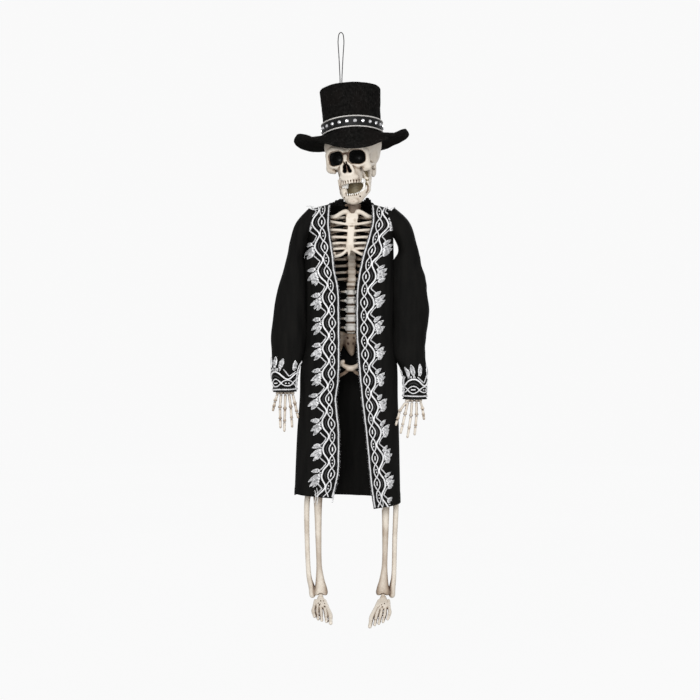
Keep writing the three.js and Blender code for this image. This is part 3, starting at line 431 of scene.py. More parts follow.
def local_axes(axes, at, turn):
    moved = [axis - np.float32(centre) for axis, centre in zip(axes, at)]
    if turn is None:
        return moved
    back = np.asarray(turn).T.astype(np.float32)
    return [sum(back[row, k] * moved[k] for k in range(3)) for row in range(3)]


def ball(at, radii, turn=None):
    """An egg-shaped form."""
    at, radii = np.array(at, float), np.array(radii, float) * np.ones(3)
    reach = radii if turn is None else np.abs(turn) @ radii

    def distance(axes):
        p = local_axes(axes, at, turn)
        near = np.sqrt(sum((p[k] / np.float32(radii[k])) ** 2 for k in range(3)))
        slope = np.sqrt(sum((p[k] / np.float32(radii[k] ** 2)) ** 2 for k in range(3)))
        return near * (near - 1) / np.maximum(slope, 1e-6)

    return at - reach, at + reach, distance


def brick(at, half, rounding=0.4, turn=None):
    """A box with rounded edges; half is its half sizes."""
    at, half = np.array(at, float), np.array(half, float)
    reach = half if turn is None else np.abs(turn) @ half

    def distance(axes):
        p = local_axes(axes, at, turn)
        q = [np.abs(p[k]) - np.float32(half[k] - rounding) for k in range(3)]
        outer = np.sqrt(sum(np.maximum(side, 0) ** 2 for side in q))
        return outer + np.minimum(np.maximum(np.maximum(q[0], q[1]), q[2]), 0) - rounding

    return at - reach, at + reach, distance


def rod(a, b, radius_a, radius_b):
    """A straight round bar that may taper."""
    a, b = np.array(a, float), np.array(b, float)
    along = b - a
    length = max(float(along @ along), 1e-9)
    reach = max(radius_a, radius_b)

    def distance(axes):
        p = [axis - np.float32(start) for axis, start in zip(axes, a)]
        share = np.clip(sum(p[k] * np.float32(along[k]) for k in range(3)) / length, 0, 1)
        off = np.sqrt(sum((p[k] - np.float32(along[k]) * share) ** 2 for k in range(3)))
        return off - (radius_a + (radius_b - radius_a) * share)

    return np.minimum(a, b) - reach, np.maximum(a, b) + reach, distance


def sided(rows, side, middle):
    """Rows whose x counts outward from a middle, as an array in the form's own frame."""
    return np.array([(middle + side * row[0], *row[1:]) for row in rows])


def bone(clay, rows, step=1.6, blend=0.6, side=1, middle=0.0):
    """A smooth bar along rows of (x, y, z, radius), with x counted to one side of a middle."""
    rows = sided(rows, side, middle)
    length = np.linalg.norm(np.diff(rows[:, :3], axis=0), axis=1).sum()
    count = max(int(length / step), 2)
    line = row_at(rows, np.linspace(0, 1, count + 1))
    for one, two in zip(line[:-1], line[1:]):
        clay.add(rod(one[:3], two[:3], one[3], two[3]), blend)


# Materials

class Look:
    """A node material that is put together step by step."""

    def __init__(self, name, base, roughness, **settings):
        self.material = bpy.data.materials.new(name)
        self.material.use_nodes = True
        self.tree = self.material.node_tree
        self.shader = self.tree.nodes["Principled BSDF"]
        self.set(self.shader, **{"Base Color": base, "Roughness": roughness}, **settings)
        self.place = self.tree.nodes.new("ShaderNodeTexCoord").outputs["Object"]

    def put(self, socket, value):
        """Sets a socket to a number, a colour or what another node gives."""
        if hasattr(value, "is_linked"):
            self.tree.links.new(value, socket)
        else:
            socket.default_value = (*value, 1) if socket.type == "RGBA" else value

    def set(self, node, **values):
        for key, value in values.items():
            self.put(node.inputs[key], value)

    def colour(self, value):
        self.put(self.shader.inputs["Base Color"], value)

    def noise(self, scale, detail=3.0, rough=0.5, stretch=None):
        place = self.place
        if stretch:
            mapping = self.tree.nodes.new("ShaderNodeMapping")
            self.set(mapping, Vector=place, Scale=stretch)
            place = mapping.outputs["Vector"]
        node = self.tree.nodes.new("ShaderNodeTexNoise")
        self.set(node, Vector=place, Scale=scale, Detail=detail, Roughness=rough)
        return node.outputs["Fac"]

    def attribute(self, name):
        node = self.tree.nodes.new("ShaderNodeAttribute")
        node.attribute_name = name
        return node.outputs["Fac"]

    def math(self, operation, first, second=0.0):
        node = self.tree.nodes.new("ShaderNodeMath")
        node.operation = operation
        self.put(node.inputs[0], first)
        self.put(node.inputs[1], second)
        return node.outputs["Value"]

    def spread(self, value, low, high, to_low=0.0, to_high=1.0):
        node = self.tree.nodes.new("ShaderNodeMapRange")
        self.set(node, **{"Value": value, "From Min": low, "From Max": high,
                          "To Min": to_low, "To Max": to_high})
        return node.outputs["Result"]

    def mix(self, share, first, second):
        node = self.tree.nodes.new("ShaderNodeMix")
        node.data_type = "RGBA"
        self.put(node.inputs["Factor"], share)
        self.put(node.inputs[6], first)
        self.put(node.inputs[7], second)
        return node.outputs[2]

    def bump(self, height, distance_mm, strength=1.0):
        node = self.tree.nodes.new("ShaderNodeBump")
        self.set(node, Strength=strength, Distance=distance_mm * MM, Height=height)
        self.set(self.shader, Normal=node.outputs["Normal"])


def bone_look():
    look = Look("bone_plastic", (0.72, 0.65, 0.56), 0.42, **{"Specular IOR Level": 0.4})
    hollow = look.attribute("hollow")
    paint = look.attribute("paint")
    cloudy = look.noise(60, 4)
    fine = look.noise(900, 3)
    # The bone darkens towards its hollows, brown and then near black where deepest: a brown wash and painted
    # shade.
    wash_and_shade = look.math("ADD", hollow, look.spread(cloudy, 0.3, 0.75, -0.10, 0.16))
    wash_and_shade = look.math("ADD", wash_and_shade, look.spread(fine, 0.3, 0.7, -0.03, 0.03))
    # Paint up to a quarter adds painted shade.
    wash_and_shade = look.math("ADD", wash_and_shade, look.math("MULTIPLY", look.math("MINIMUM", paint, 0.25), 1.6))
    warm = look.mix(look.spread(cloudy, 0.35, 0.65), (0.66, 0.60, 0.52), (0.59, 0.525, 0.445))
    shaded = look.mix(look.spread(wash_and_shade, 0.12, 0.42), warm, (0.33, 0.255, 0.19))
    deep = look.mix(look.spread(wash_and_shade, 0.42, 0.80), shaded, (0.075, 0.042, 0.026))
    # Paint from a quarter on is brown and mostly painted shade, from a half black in the eyes and nose holes,
    # and below zero white: painted light on the teeth and loins.
    painted = look.mix(look.spread(paint, 0.25, 0.55), deep, (0.11, 0.045, 0.025))
    painted = look.mix(look.spread(paint, 0.5, 0.8), painted, (0.006, 0.006, 0.006))
    painted = look.mix(look.spread(paint, -0.4, -0.2, 1.0, 0.0), painted, (0.93, 0.92, 0.89))
    look.colour(painted)
    look.set(look.shader, Roughness=look.spread(cloudy, 0.3, 0.7, 0.36, 0.5))
    look.bump(look.math("ADD", look.math("MULTIPLY", fine, 0.6), look.noise(260, 4)), 0.12, 0.35)
    return look.material


def felt_look():
    look = Look("hat_felt", (0.012, 0.012, 0.011), 0.95, **{"Specular IOR Level": 0.02})
    fibres = look.noise(1400, 5, stretch=(1, 1, 0.35), rough=0.7)
    patches = look.noise(55, 4)
    clumps = look.noise(420, 3, rough=0.6)
    tone = look.math("ADD", look.math("MULTIPLY", fibres, 0.6), look.math("MULTIPLY", clumps, 0.4))
    colour = look.mix(look.spread(tone, 0.42, 0.68), (0.0028, 0.0028, 0.0026), (0.014, 0.0132, 0.0125))
    colour = look.mix(look.spread(patches, 0.45, 0.75), colour, (0.008, 0.0066, 0.006))
    look.colour(colour)
    look.bump(tone, 0.5, 0.8)
    return look.material


def cloth_look():
    look = Look("coat_cloth", (0.011, 0.011, 0.011), 0.72, **{"Specular IOR Level": 0.05})
    uv = look.tree.nodes.new("ShaderNodeUVMap")
    uv.uv_map = "cloth"
    split = look.tree.nodes.new("ShaderNodeSeparateXYZ")
    look.tree.links.new(uv.outputs["UV"], split.inputs["Vector"])
    pitch = 0.42
    across = look.math("SINE", look.math("MULTIPLY", split.outputs["X"], 2 * math.pi / pitch))
    along = look.math("SINE", look.math("MULTIPLY", split.outputs["Y"], 2 * math.pi / pitch))
    weave = look.math("MULTIPLY", across, along)
    slubs = look.noise(240, 3, stretch=(1, 1, 0.15))
    fuzz = look.noise(1500, 2)
    height = look.math("ADD", look.math("MULTIPLY", weave, 0.5), fuzz)
    tone = look.math("ADD", look.spread(slubs, 0.3, 0.7, 0, 0.7), look.spread(weave, -1, 1, 0, 0.3))
    colour = look.mix(tone, (0.0024, 0.0024, 0.0023), (0.0085, 0.0081, 0.0074))
    look.colour(colour)
    look.set(look.shader, Roughness=look.spread(slubs, 0.3, 0.7, 0.62, 0.82))
    look.bump(height, 0.10, 0.6)
    return look.material


def thread_look(name, dark, light, roughness, metallic=0.0, specular=0.15):
    """Twisted or satin-stitched thread: tone picks between its shaded and its bright strands."""
    look = Look(name, light, roughness, **{"Metallic": metallic, "Specular IOR Level": specular})
    tone = look.attribute("tone")
    fine = look.noise(1800, 3)
    spots = look.noise(380, 3)
    share = look.math("ADD", look.spread(tone, -1, 1, 0.15, 0.85), look.spread(fine, 0.3, 0.7, -0.22, 0.22))
    share = look.math("ADD", share, look.spread(spots, 0.35, 0.65, -0.1, 0.1))
    look.colour(look.mix(look.spread(share, 0, 1), dark, light))
    look.bump(fine, 0.08, 0.5)
    return look.material


def mouth_look():
    look = Look("mouth_lining", (0.3, 0.26, 0.18), 0.7, **{"Specular IOR Level": 0.2})
    cloudy = look.spread(look.noise(300, 3), 0.3, 0.7, -0.15, 0.15)
    middle = look.math("ADD", look.attribute("middle"), cloudy)
    # Painted shade: darker away from the lining's upper middle.
    look.colour(look.mix(middle, (0.15, 0.115, 0.062), (0.30, 0.26, 0.18)))
    look.bump(cloudy, 0.1, 0.4)
    return look.material


def stone_look():
    look = Look("rhinestone", (0.93, 0.94, 0.96), 0.06, **{"Metallic": 0.85, "Coat Weight": 0.6})
    cloudy = look.noise(700, 2)
    look.colour(look.mix(cloudy, (0.80, 0.80, 0.82), (0.98, 0.98, 1.0)))
    look.bump(cloudy, 0.02, 0.2)
    return look.material


def backdrop_look():
    look = Look("backdrop", (0.01, 0.01, 0.01), 0.95, **{"Specular IOR Level": 0.0})
    paper = look.mix(look.noise(2, 2), (0.99, 0.99, 0.99), (1.0, 1.0, 1.0))
    look.set(look.shader, **{"Emission Color": paper, "Emission Strength": BACKDROP_WHITE})
    return look.material


BONE = bone_look()
FELT_BLACK = felt_look()
CLOTH_BLACK = cloth_look()
RIBBON = thread_look("hat_ribbon", (0.002, 0.002, 0.002), (0.008, 0.008, 0.0085), 0.5)
SILVER = thread_look("silver_cord", (0.24, 0.225, 0.21), (0.80, 0.78, 0.75), 0.4, 0.2, specular=0.5)
STITCH = thread_look("embroidery", (0.10, 0.10, 0.105), (0.90, 0.90, 0.91), 0.4, specular=0.4)
BLACK_CORD = thread_look("black_edging", (0.001, 0.001, 0.001), (0.055, 0.055, 0.056), 0.6)
LOOP_THREAD = thread_look("hanging_thread", (0.003, 0.0026, 0.0024), (0.02, 0.017, 0.015), 0.7,
                          specular=0.05)
FELT_HAIR = thread_look("felt_fibres", (0.01, 0.0095, 0.009), (0.075, 0.072, 0.068), 0.8)
STONE = stone_look()
MOUTH = mouth_look()


# The camera, the light and the floor

def aim(thing, target):
    thing.rotation_euler = (Vector(target) - thing.location).to_track_quat("-Z", "Y").to_euler()


def make_light(name, place, size, power):
    lamp = bpy.data.lights.new(name, "AREA")
    lamp.size = size
    lamp.energy = power
    holder = bpy.data.objects.new(name, lamp)
    holder.location = place
    bpy.context.scene.collection.objects.link(holder)
    aim(holder, (0.007, 0, -0.26))


def make_studio():
    scene = bpy.context.scene
    lens = bpy.data.cameras.new("camera")
    lens.sensor_width = SENSOR
    lens.lens = SENSOR * VIEW_DISTANCE / VIEW_WIDTH
    lens.clip_end = 20
    eye = bpy.data.objects.new("camera", lens)
    eye.location = (VIEW_MIDDLE[0] * MM, -VIEW_DISTANCE * MM, VIEW_MIDDLE[1] * MM)
    eye.rotation_euler = (math.pi / 2, 0, 0)
    scene.collection.objects.link(eye)
    scene.camera = eye
    scene.view_settings.view_transform = "Standard"
    world = bpy.data.worlds.new("studio")
    scene.world = world
    world.use_nodes = True
    # The backdrop is white, and lights the figure more softly than it shows
    tree = world.node_tree
    sky = tree.nodes["Background"]
    sky.inputs["Color"].default_value = (1, 1, 1, 1)
    rays = tree.nodes.new("ShaderNodeLightPath")
    strength = tree.nodes.new("ShaderNodeMapRange")
    strength.inputs["To Min"].default_value = 0.6
    strength.inputs["To Max"].default_value = BACKDROP_WHITE
    tree.links.new(rays.outputs["Is Camera Ray"], strength.inputs["Value"])
    tree.links.new(strength.outputs["Result"], sky.inputs["Strength"])
    make_light("key", (-0.22, -1.35, 0.15), 0.7, 14)
    make_light("fill", (0.9, -1.2, -0.1), 1.0, 4.5)
    make_light("back", (0.5, 1.3, 0.4), 1.0, 4)

    turns = np.linspace(0, 2 * math.pi, 97)[:-1]
    circle = np.stack([np.cos(turns), np.sin(turns), np.full(len(turns), FLOOR_Z)], -1)
    rings = np.array([circle * (radius, radius, 1) for radius in (4000, 3900, 1500, 300, 3)])
    floor = make_mesh("floor", rings, grid_faces(*rings.shape[:2], around=True)[:, ::-1], backdrop_look())
    floor.visible_diffuse = False
    floor.visible_glossy = False


# Threads

def frames_along(line, facing=None):
    """Unit directions along a line of points, and two across it."""
    along = unit(np.gradient(line, axis=0))
    if facing is None:
        facing = np.tile([0.0, -1.0, 0.0], (len(line), 1))
    side = unit(np.cross(along, facing))
    return along, side, np.cross(side, along)


def even_line(points, step):
    """A line at even steps through rows of points, smoothly bent."""
    points = np.asarray(points, float)
    fine = row_at(points, np.linspace(0, 1, 24 * len(points)))
    length = walked_along(fine)
    count = max(int(length[-1] / step), 2)
    wanted = np.linspace(0, length[-1], count + 1)
    return np.stack([np.interp(wanted, length, fine[:, k]) for k in range(fine.shape[1])], -1)


def twisted(bundle, line, radius, plies=2, pitch=2.2, sides=8, facing=None, tone=0.0):
    """A cord of plies laid round each other along a line of points."""
    _, side, front = frames_along(line, facing)
    walked = walked_along(line)
    ply = radius * (0.56 if plies == 2 else 0.48)
    turns = np.arange(sides) / sides * 2 * math.pi
    for k in range(plies):
        angle = walked / pitch * 2 * math.pi + k * 2 * math.pi / plies
        centre = line + (radius - ply) * (np.cos(angle)[:, None] * side + np.sin(angle)[:, None] * front)
        ring = np.cos(turns)[None, :, None] * side[:, None] + np.sin(turns)[None, :, None] * front[:, None]
        # Painted light: each ply is lighter where it turns to the front of the cord and darker where it turns
        # away.
        shade = np.sin(angle)[:, None] * 0.3 + tone + np.zeros((1, sides))
        bundle.loft(centre[:, None] + ring * ply, np.append(shade.ravel(), [tone, tone]))


def make_thread():
    half = [(LOOP_FOOT_SPREAD, 0, -LOOP_FOOT_DROP), (0.8, 0, -38), (1.25, 0, -28), (1.8, 0, -18),
            (LOOP_RADIUS + 0.5, 0, -9), (LOOP_RADIUS + 0.2, 0, -4), (LOOP_RADIUS * 0.75, 0, -1.5)]
    mirrored = [(-x, y, z) for x, y, z in reversed(half)]
    line = even_line([*half, (0, 0, -THREAD_DIAMETER / 2), *mirrored], 0.35)
    bundle = Bundle()
    twisted(bundle, line, THREAD_DIAMETER / 2, pitch=2.0)
    loop = piece(bundle.build("hanging_loop", LOOP_THREAD), "hanging_thread", "thread_loop")


# The hat

BRIM_SIDE = [(0, 0), (9, 0.2), (17, -0.2), (22.8, -0.8), (21, 2.5)]
BRIM_FRONT = [(0, 0), (4.6, -5.9), (8.2, -10.6), (11.2, -14.4), (13.6, -17.8)]
BRIM_BACK = [(0, 0), (5, -1.8), (10, -3.6), (13.5, -4.8), (16.5, -5.8)]
RIBBON_SECTION = [(0.15, 1.4), (0.75, 1.5), (0.9, 2.6), (0.95, 6), (0.9, 9), (0.75, 10.2), (0.15, 10.3)]
STONES = 24
STONE_HEIGHT = 6.0
FIBRES = 1000
HAT_TURN = np.array((Euler((HAT_TILT_BACK, 0, 0)).to_matrix() @ Euler((0, HAT_ROLL, 0)).to_matrix()))


def hat_place(points):
    return points @ HAT_TURN.T + np.array(HAT_BASE)


def brim_profile(turn, share):
    """The brim's reach from the crown and its rise, at turns round the hat and a share of the way out."""
    share = np.broadcast_to(share, turn.shape)
    front = np.sin(turn)[..., None] < -1e-9
    sideways = np.abs(np.cos(turn))[..., None] ** np.where(front, 2.2, 5)
    along = np.where(front, row_at(BRIM_FRONT, share), row_at(BRIM_BACK, share))
    profile = lerp(along, row_at(BRIM_SIDE, share), sideways)
    quarter = turn % (2 * math.pi) * 2 / math.pi - 1
    wave = BRIM_WAVE * np.sin(quarter * 2 * math.pi) * ((quarter > 0) & (quarter < 1))
    narrow = 1 - 0.08 * np.clip(np.cos(turn), 0, 1)[..., None] ** 4
    profile = profile * np.concatenate([narrow, np.ones_like(narrow)], -1)
    raised = 1.1 * np.clip(np.sin(2 * turn), 0, 1) * front[..., 0]
    return profile + np.stack([np.zeros_like(wave), (wave + raised) * share ** 1.5], -1)


def side_drop(turn, height=0.0):
    """How much lower than at its front the hat sits at a turn, down to nothing at the crown's top."""
    return HAT_SIDE_DROP * np.cos(turn) ** 2 * (1 - height / CROWN_HEIGHT)


def brim_ring(turn, share, below):
    profile = brim_profile(turn, share)
    step = 0.04
    change = brim_profile(turn, min(share + step, 1)) - brim_profile(turn, max(share - step, 0))
    change = unit(change)
    radius = CROWN_RADIUS + profile[:, 0] + change[:, 1] * below
    height = profile[:, 1] - change[:, 0] * below - side_drop(turn)
    return np.stack([np.cos(turn) * radius, np.sin(turn) * (radius + CROWN_OVAL), height], -1)


def oval_ring(turn, wall, height, oval=CROWN_OVAL):
    """A ring round the crown, whose wall stands this far out at the sides."""
    level = height - side_drop(turn, height)
    return np.stack([np.cos(turn) * wall, np.sin(turn) * (wall + oval), level], -1)


def hat_ring(turn, radius, height):
    return oval_ring(turn, radius, height, CROWN_OVAL * radius / CROWN_RADIUS)


def hat_rings(turn):
    """The felt from the top's middle, down the crown, out to the brim's edge and back inside."""
    top = CROWN_RADIUS + CROWN_FLARE
    rings = []
    for share in np.linspace(0.02, 1, 12):
        rings.append(hat_ring(turn, (top - CROWN_EDGE) * share, CROWN_HEIGHT + 0.5 * (1 - share ** 2)))
    for bend in np.radians([20, 45, 70, 90]):
        radius = top - CROWN_EDGE + CROWN_EDGE * math.sin(bend)
        rings.append(hat_ring(turn, radius, CROWN_HEIGHT - CROWN_EDGE + CROWN_EDGE * math.cos(bend)))
    for share in np.linspace(0.03, 1, 26):
        height = lerp(CROWN_HEIGHT - CROWN_EDGE, 0.4, share)
        waist = 0.9 * math.sin(math.pi * share) ** 2
        rings.append(hat_ring(turn, lerp(top, CROWN_RADIUS, min(share * 1.2, 1)) - waist * 0.6, height))
    for share in np.linspace(0.02, 1, 22):
        rings.append(brim_ring(turn, share, 0))
    edge = brim_profile(turn, 1.0) - brim_profile(turn, 0.96)
    outward = unit(edge)
    for bend in np.radians([30, 60, 90, 120, 150]):
        ring = brim_ring(turn, 1.0, FELT / 2 * (1 - math.cos(bend)))
        push = FELT / 2 * math.sin(bend)
        ring = ring + np.stack([np.cos(turn) * outward[:, 0] * push, np.sin(turn) * outward[:, 0] * push,
                                outward[:, 1] * push], -1)
        rings.append(ring)
    for share in np.linspace(1, 0.06, 22):
        rings.append(brim_ring(turn, share, FELT))
    for height in np.linspace(-0.6, CROWN_HEIGHT - FELT - 1, 14):
        share = height / CROWN_HEIGHT
        rings.append(hat_ring(turn, CROWN_RADIUS - FELT + CROWN_FLARE * max(share, 0) * 0.6, height))
    for share in np.linspace(0.9, 0.02, 8):
        rings.append(hat_ring(turn, (top - FELT) * share, CROWN_HEIGHT - FELT))
    return np.array(rings)


def make_hat():
    turn = np.linspace(0, 2 * math.pi, 193)[:-1]
    rings = hat_rings(turn)
    normals = grid_normals(rings, around=True)
    lumps = waves(rings[..., 0], rings[..., 1], rings[..., 2], seed=3, longest=26) * 0.22
    fuzz = waves(rings[..., 0], rings[..., 1], rings[..., 2], seed=4, count=9, longest=4) * 0.05
    rings = rings + normals * (lumps + fuzz)[..., None]
    bundle = Bundle()
    bundle.loft(hat_place(rings)[:, ::-1])
    piece(bundle.build("felt_hat", FELT_BLACK), "hat_felt", "hat")

    # Loose fibres that lie on the felt, a little lighter than the rest
    hairs = Bundle()
    source = np.random.default_rng(11)
    for _ in range(FIBRES):
        row = source.integers(4, 68)
        column = source.integers(0, len(turn))
        start = rings[row, column]
        out = normals[row, column]
        if row < 16:
            out = np.array([0, 0, 1.0])
        if out @ (start * (1, 1, 0.2)) < 0 and row < 44:
            out = -out
        lie = unit(np.cross(out, source.normal(size=3)))
        side = np.cross(out, lie)
        length = source.uniform(1.0, 4.5)
        bend = source.normal() * 0.6
        steps = np.linspace(-0.5, 0.5, 5)
        line = start + lie * (steps * length)[:, None] + side * (bend * steps ** 2 * 2)[:, None]
        line = line + out * (0.22 + 0.25 * source.random() * (1 - 4 * steps ** 2))[:, None]
        thin = 0.05 * (1.2 - np.abs(steps) * 2)[:, None]
        ring = np.stack([line + side * thin, line + out * thin, line - side * thin], 1)
        hairs.loft(hat_place(ring), source.uniform(-1, 0.6))
    piece(hairs.build("felt_fibres", FELT_HAIR), "hat_felt")


def make_band():
    """A black ribbon between two silver cords, with a row of cut stones."""
    turn = np.linspace(0, 2 * math.pi, 241)[:-1]
    rings = []
    for out, height in RIBBON_SECTION:
        rings.append(oval_ring(turn, CROWN_RADIUS + out + 0.15, height))
    rings.append(rings[0])
    points = hat_place(np.array(rings))
    ribbon = make_mesh("hat_ribbon", points, grid_faces(len(rings), len(turn), around=True), RIBBON)
    piece(ribbon, "hat_ribbon", "hat_band")

    cords = Bundle()
    for height in (1.7, 10.1):
        line = oval_ring(np.linspace(0, 2 * math.pi, 421), CROWN_RADIUS + 1.1, height)
        outward = unit(line * (1, 1, 0))
        twisted(cords, line, 0.62, pitch=2.1, facing=outward, tone=0.2)
    cords.points = [hat_place(part) for part in cords.points]
    piece(cords.build("band_cords", SILVER), "silver_cord")

    stones = Bundle()
    for k in range(STONES):
        at = (k + 0.35) / STONES * 2 * math.pi
        wall = CROWN_RADIUS + 1.1
        centre = oval_ring(at, wall, STONE_HEIGHT)
        out = unit(np.array([math.cos(at) * (wall + CROWN_OVAL), math.sin(at) * wall, 0.0]))
        side = np.array([-out[1], out[0], 0.0])
        rings = []
        for reach, radius, twist in ((-0.1, 1.3, 0), (0.15, 1.55, 0), (0.75, 1.15, 0.5), (1.0, 0.68, 0)):
            corner = (np.arange(8) + twist) / 8 * 2 * math.pi
            rings.append(centre + out * reach + np.cos(corner)[:, None] * side * radius
                         + np.sin(corner)[:, None] * np.array([0, 0, radius]))
        stones.loft(hat_place(np.array(rings)))
    piece(stones.build("band_stones", STONE, smooth=False), "rhinestone")


# The coat

def coat_depth(x, drop, behind):
    """How far the coat stands out, in front or behind, at a place x and a drop."""
    left_x = curve_at(COAT_SIDE["left"], drop)
    right_x = curve_at(COAT_SIDE["right"], drop)
    half = np.where(x > COAT_MIDDLE_X, left_x - COAT_MIDDLE_X, COAT_MIDDLE_X - right_x)
    across = np.clip(np.abs(x - COAT_MIDDLE_X) / half, 0, 1)
    section = (1 - across ** COAT_POWER) ** (1 / COAT_POWER)
    from_neck = np.abs(x - COAT_MIDDLE_X) - NECK_HALF_WIDTH
    collar = np.clip(-from_neck / 8, 0, 1) * COLLAR_RISE if behind else 0
    ridge = lerp(SHOULDER_DROPS[0], SHOULDER_DROPS[1], np.clip(from_neck / 18, 0, 1)) - collar
    below = np.clip((drop - ridge) / SHOULDER_ROUNDING, 0, 1)
    rounding = np.sqrt(1 - (1 - below) ** 2)
    return curve_at(COAT_HALF_DEPTH, drop) * section * np.maximum(rounding, 0.04)


def coat_folds(x, drop, behind):
    """Soft folds that grow towards the hem, and faint creases across."""
    lower = ramp(drop, 200, 385)
    long_folds = waves(x, drop * 0.14, seed=22 if behind else 21, longest=30, count=5)
    creases = waves(x * 0.5, drop, seed=24, longest=34, count=4)
    if behind:
        return long_folds * (0.4 + 1.5 * lower) + creases * 0.4
    return long_folds * (0.2 + 0.75 * lower) + creases * 0.22


def coat_surface(x, drop, behind, outward=0.0):
    """A point of the coat's cloth and the direction that it faces."""
    x, drop = np.broadcast_arrays(np.asarray(x, float), np.asarray(drop, float))
    face = 1 if behind else -1

    def depth_at(a, b):
        return coat_depth(a, b, behind) + coat_folds(a, b, behind)

    step = 0.5
    slope_x = (depth_at(x + step, drop) - depth_at(x - step, drop)) / (2 * step)
    slope_drop = (depth_at(x, drop + step) - depth_at(x, drop - step)) / (2 * step)
    slope_x, slope_drop = np.clip(slope_x, -6, 6), np.clip(slope_drop, -6, 6)
    normal = unit(np.stack([-slope_x, np.full(x.shape, float(face)), slope_drop], -1))
    depth = np.maximum(depth_at(x, drop), 0.3)
    point = np.stack([x, COAT_MIDDLE_Y + face * depth, -drop], -1) + normal * np.asarray(outward)[..., None]
    nearest = COAT_MIDDLE_Y + face * 0.3
    point[..., 1] = np.maximum(point[..., 1], nearest) if behind else np.minimum(point[..., 1], nearest)
    return point, normal


def cloth_map(grid):
    """Lengths along and across a cloth's own grid, for its weave."""
    across = np.linalg.norm(np.diff(grid, axis=1), axis=2).mean(axis=0)
    down = np.linalg.norm(np.diff(grid, axis=0), axis=2).mean(axis=1)
    u = np.concatenate([[0], np.cumsum(across)])
    v = np.concatenate([[0], np.cumsum(down)])
    return np.stack(np.meshgrid(u, v), -1).reshape(-1, 2)


def cloth_sheet(node, grid):
    """A panel of the coat between two grids of points, its outer face and its lining's."""
    outer = grid(0)
    points, faces = shell(outer, grid(-CLOTH))
    sheet = make_mesh(node + "_cloth", points, faces, CLOTH_BLACK)
    add_uv(sheet, np.tile(cloth_map(outer), (2, 1)))
    piece(sheet, "coat_cloth", node)


def front_grid(name, outward, rows=166, columns=46):
    down = np.linspace(0, 1, rows)[:, None] ** 1.25
    share = np.linspace(0, 1, columns)[None, :]
    top = lerp(SHOULDER_DROPS[1], SHOULDER_DROPS[0], share)
    hem = lerp(COAT_HEM[name][0], COAT_HEM[name][1], share)
    drop = lerp(top, hem, down)
    seam_x = curve_at(COAT_SIDE[name], drop)
    edge_x = curve_at(COAT_EDGE[name], drop)
    x = lerp(seam_x, edge_x, 1 - np.cos(share * math.pi / 2))
    point, normal = coat_surface(x, drop, False)
    hem_fold = 0.25 * (1 - ramp(np.abs(hem - drop), 4.5, 5.2))
    return point + normal * (outward + hem_fold)[..., None]


def back_grid(outward, rows=136, columns=76):
    down = np.linspace(0, 1, rows)[:, None] ** 1.25
    share = np.linspace(-1, 1, columns)[None, :]
    shape = np.sin(share * math.pi / 2)
    arm = np.clip((np.abs(shape) - 0.45) / 0.55, 0, 1)
    hem = lerp(COAT_BACK_HEM["right"], COAT_BACK_HEM["left"], (shape + 1) / 2)
    drop = lerp(lerp(SHOULDER_DROPS[0], SHOULDER_DROPS[1], arm), hem, down)
    seam_x = np.where(shape < 0, curve_at(COAT_SIDE["right"], drop), curve_at(COAT_SIDE["left"], drop))
    x = lerp(COAT_MIDDLE_X, seam_x, np.abs(shape) + np.zeros_like(drop))
    point, normal = coat_surface(x, drop, True)
    seam = 0.45 * np.exp(-((x - COAT_MIDDLE_X) / 0.5) ** 2)
    hem_fold = 0.25 * (1 - ramp(np.abs(hem - drop), 4.5, 5.2))
    return point + normal * (outward + hem_fold - seam)[..., None]


def sleeve_place(name, t, turn, outward=0.0):
    """A point of a sleeve: t runs from the armhole to the cuff, turn goes round it."""
    t, turn = np.broadcast_arrays(np.asarray(t, float), np.asarray(turn, float))
    row = row_at(SLEEVES[name], t)
    change = row_at(SLEEVES[name], np.minimum(t + 0.01, 1)) - row_at(SLEEVES[name], np.maximum(t - 0.01, 0))
    tangent = unit(change[..., :3] * (1, 1, -1))
    side = unit(np.array([1.0, 0, 0]) - tangent * tangent[..., :1])
    front = np.cross(tangent, side)
    middle = row[..., :3] * (1, 1, -1)
    cos, sin = np.cos(turn)[..., None], np.sin(turn)[..., None]
    wide, deep = row[..., 3:4], row[..., 4:5]
    point = middle + side * cos * wide + front * sin * deep
    normal = unit(side * cos * deep + front * sin * wide)
    seed = 31 if name == "right" else 33
    around = 9 * turn
    drape = waves(np.cos(turn) * 9, np.sin(turn) * 9, t * 55, seed=seed, longest=22, count=6)
    slanted = waves(around * 0.35, t * 150 + 6 * np.cos(turn), seed=seed + 1, longest=24, count=4)
    amount = ramp(t, 0.1, 0.35) * (1 - ramp(t, 0.86, 0.97))
    fold = amount * (0.75 * drape + 0.7 * slanted * np.exp(-((t - 0.5) / 0.25) ** 2))
    gather = 0.35 * np.cos(turn * 22 + 2 * np.sin(turn)) * ramp(t, 0.78, 0.87) * (1 - ramp(t, 0.875, 0.91))
    inner = np.clip(-SIDES[name] * np.cos(turn), 0, 1) ** 1.5
    press = 2.2 if name == "right" else 3.4
    press = press * inner * ramp(row[..., 2], 181, 192) * (1 - ramp(row[..., 2], 262, 273))
    return point + normal * (fold + gather + press + outward)[..., None], normal


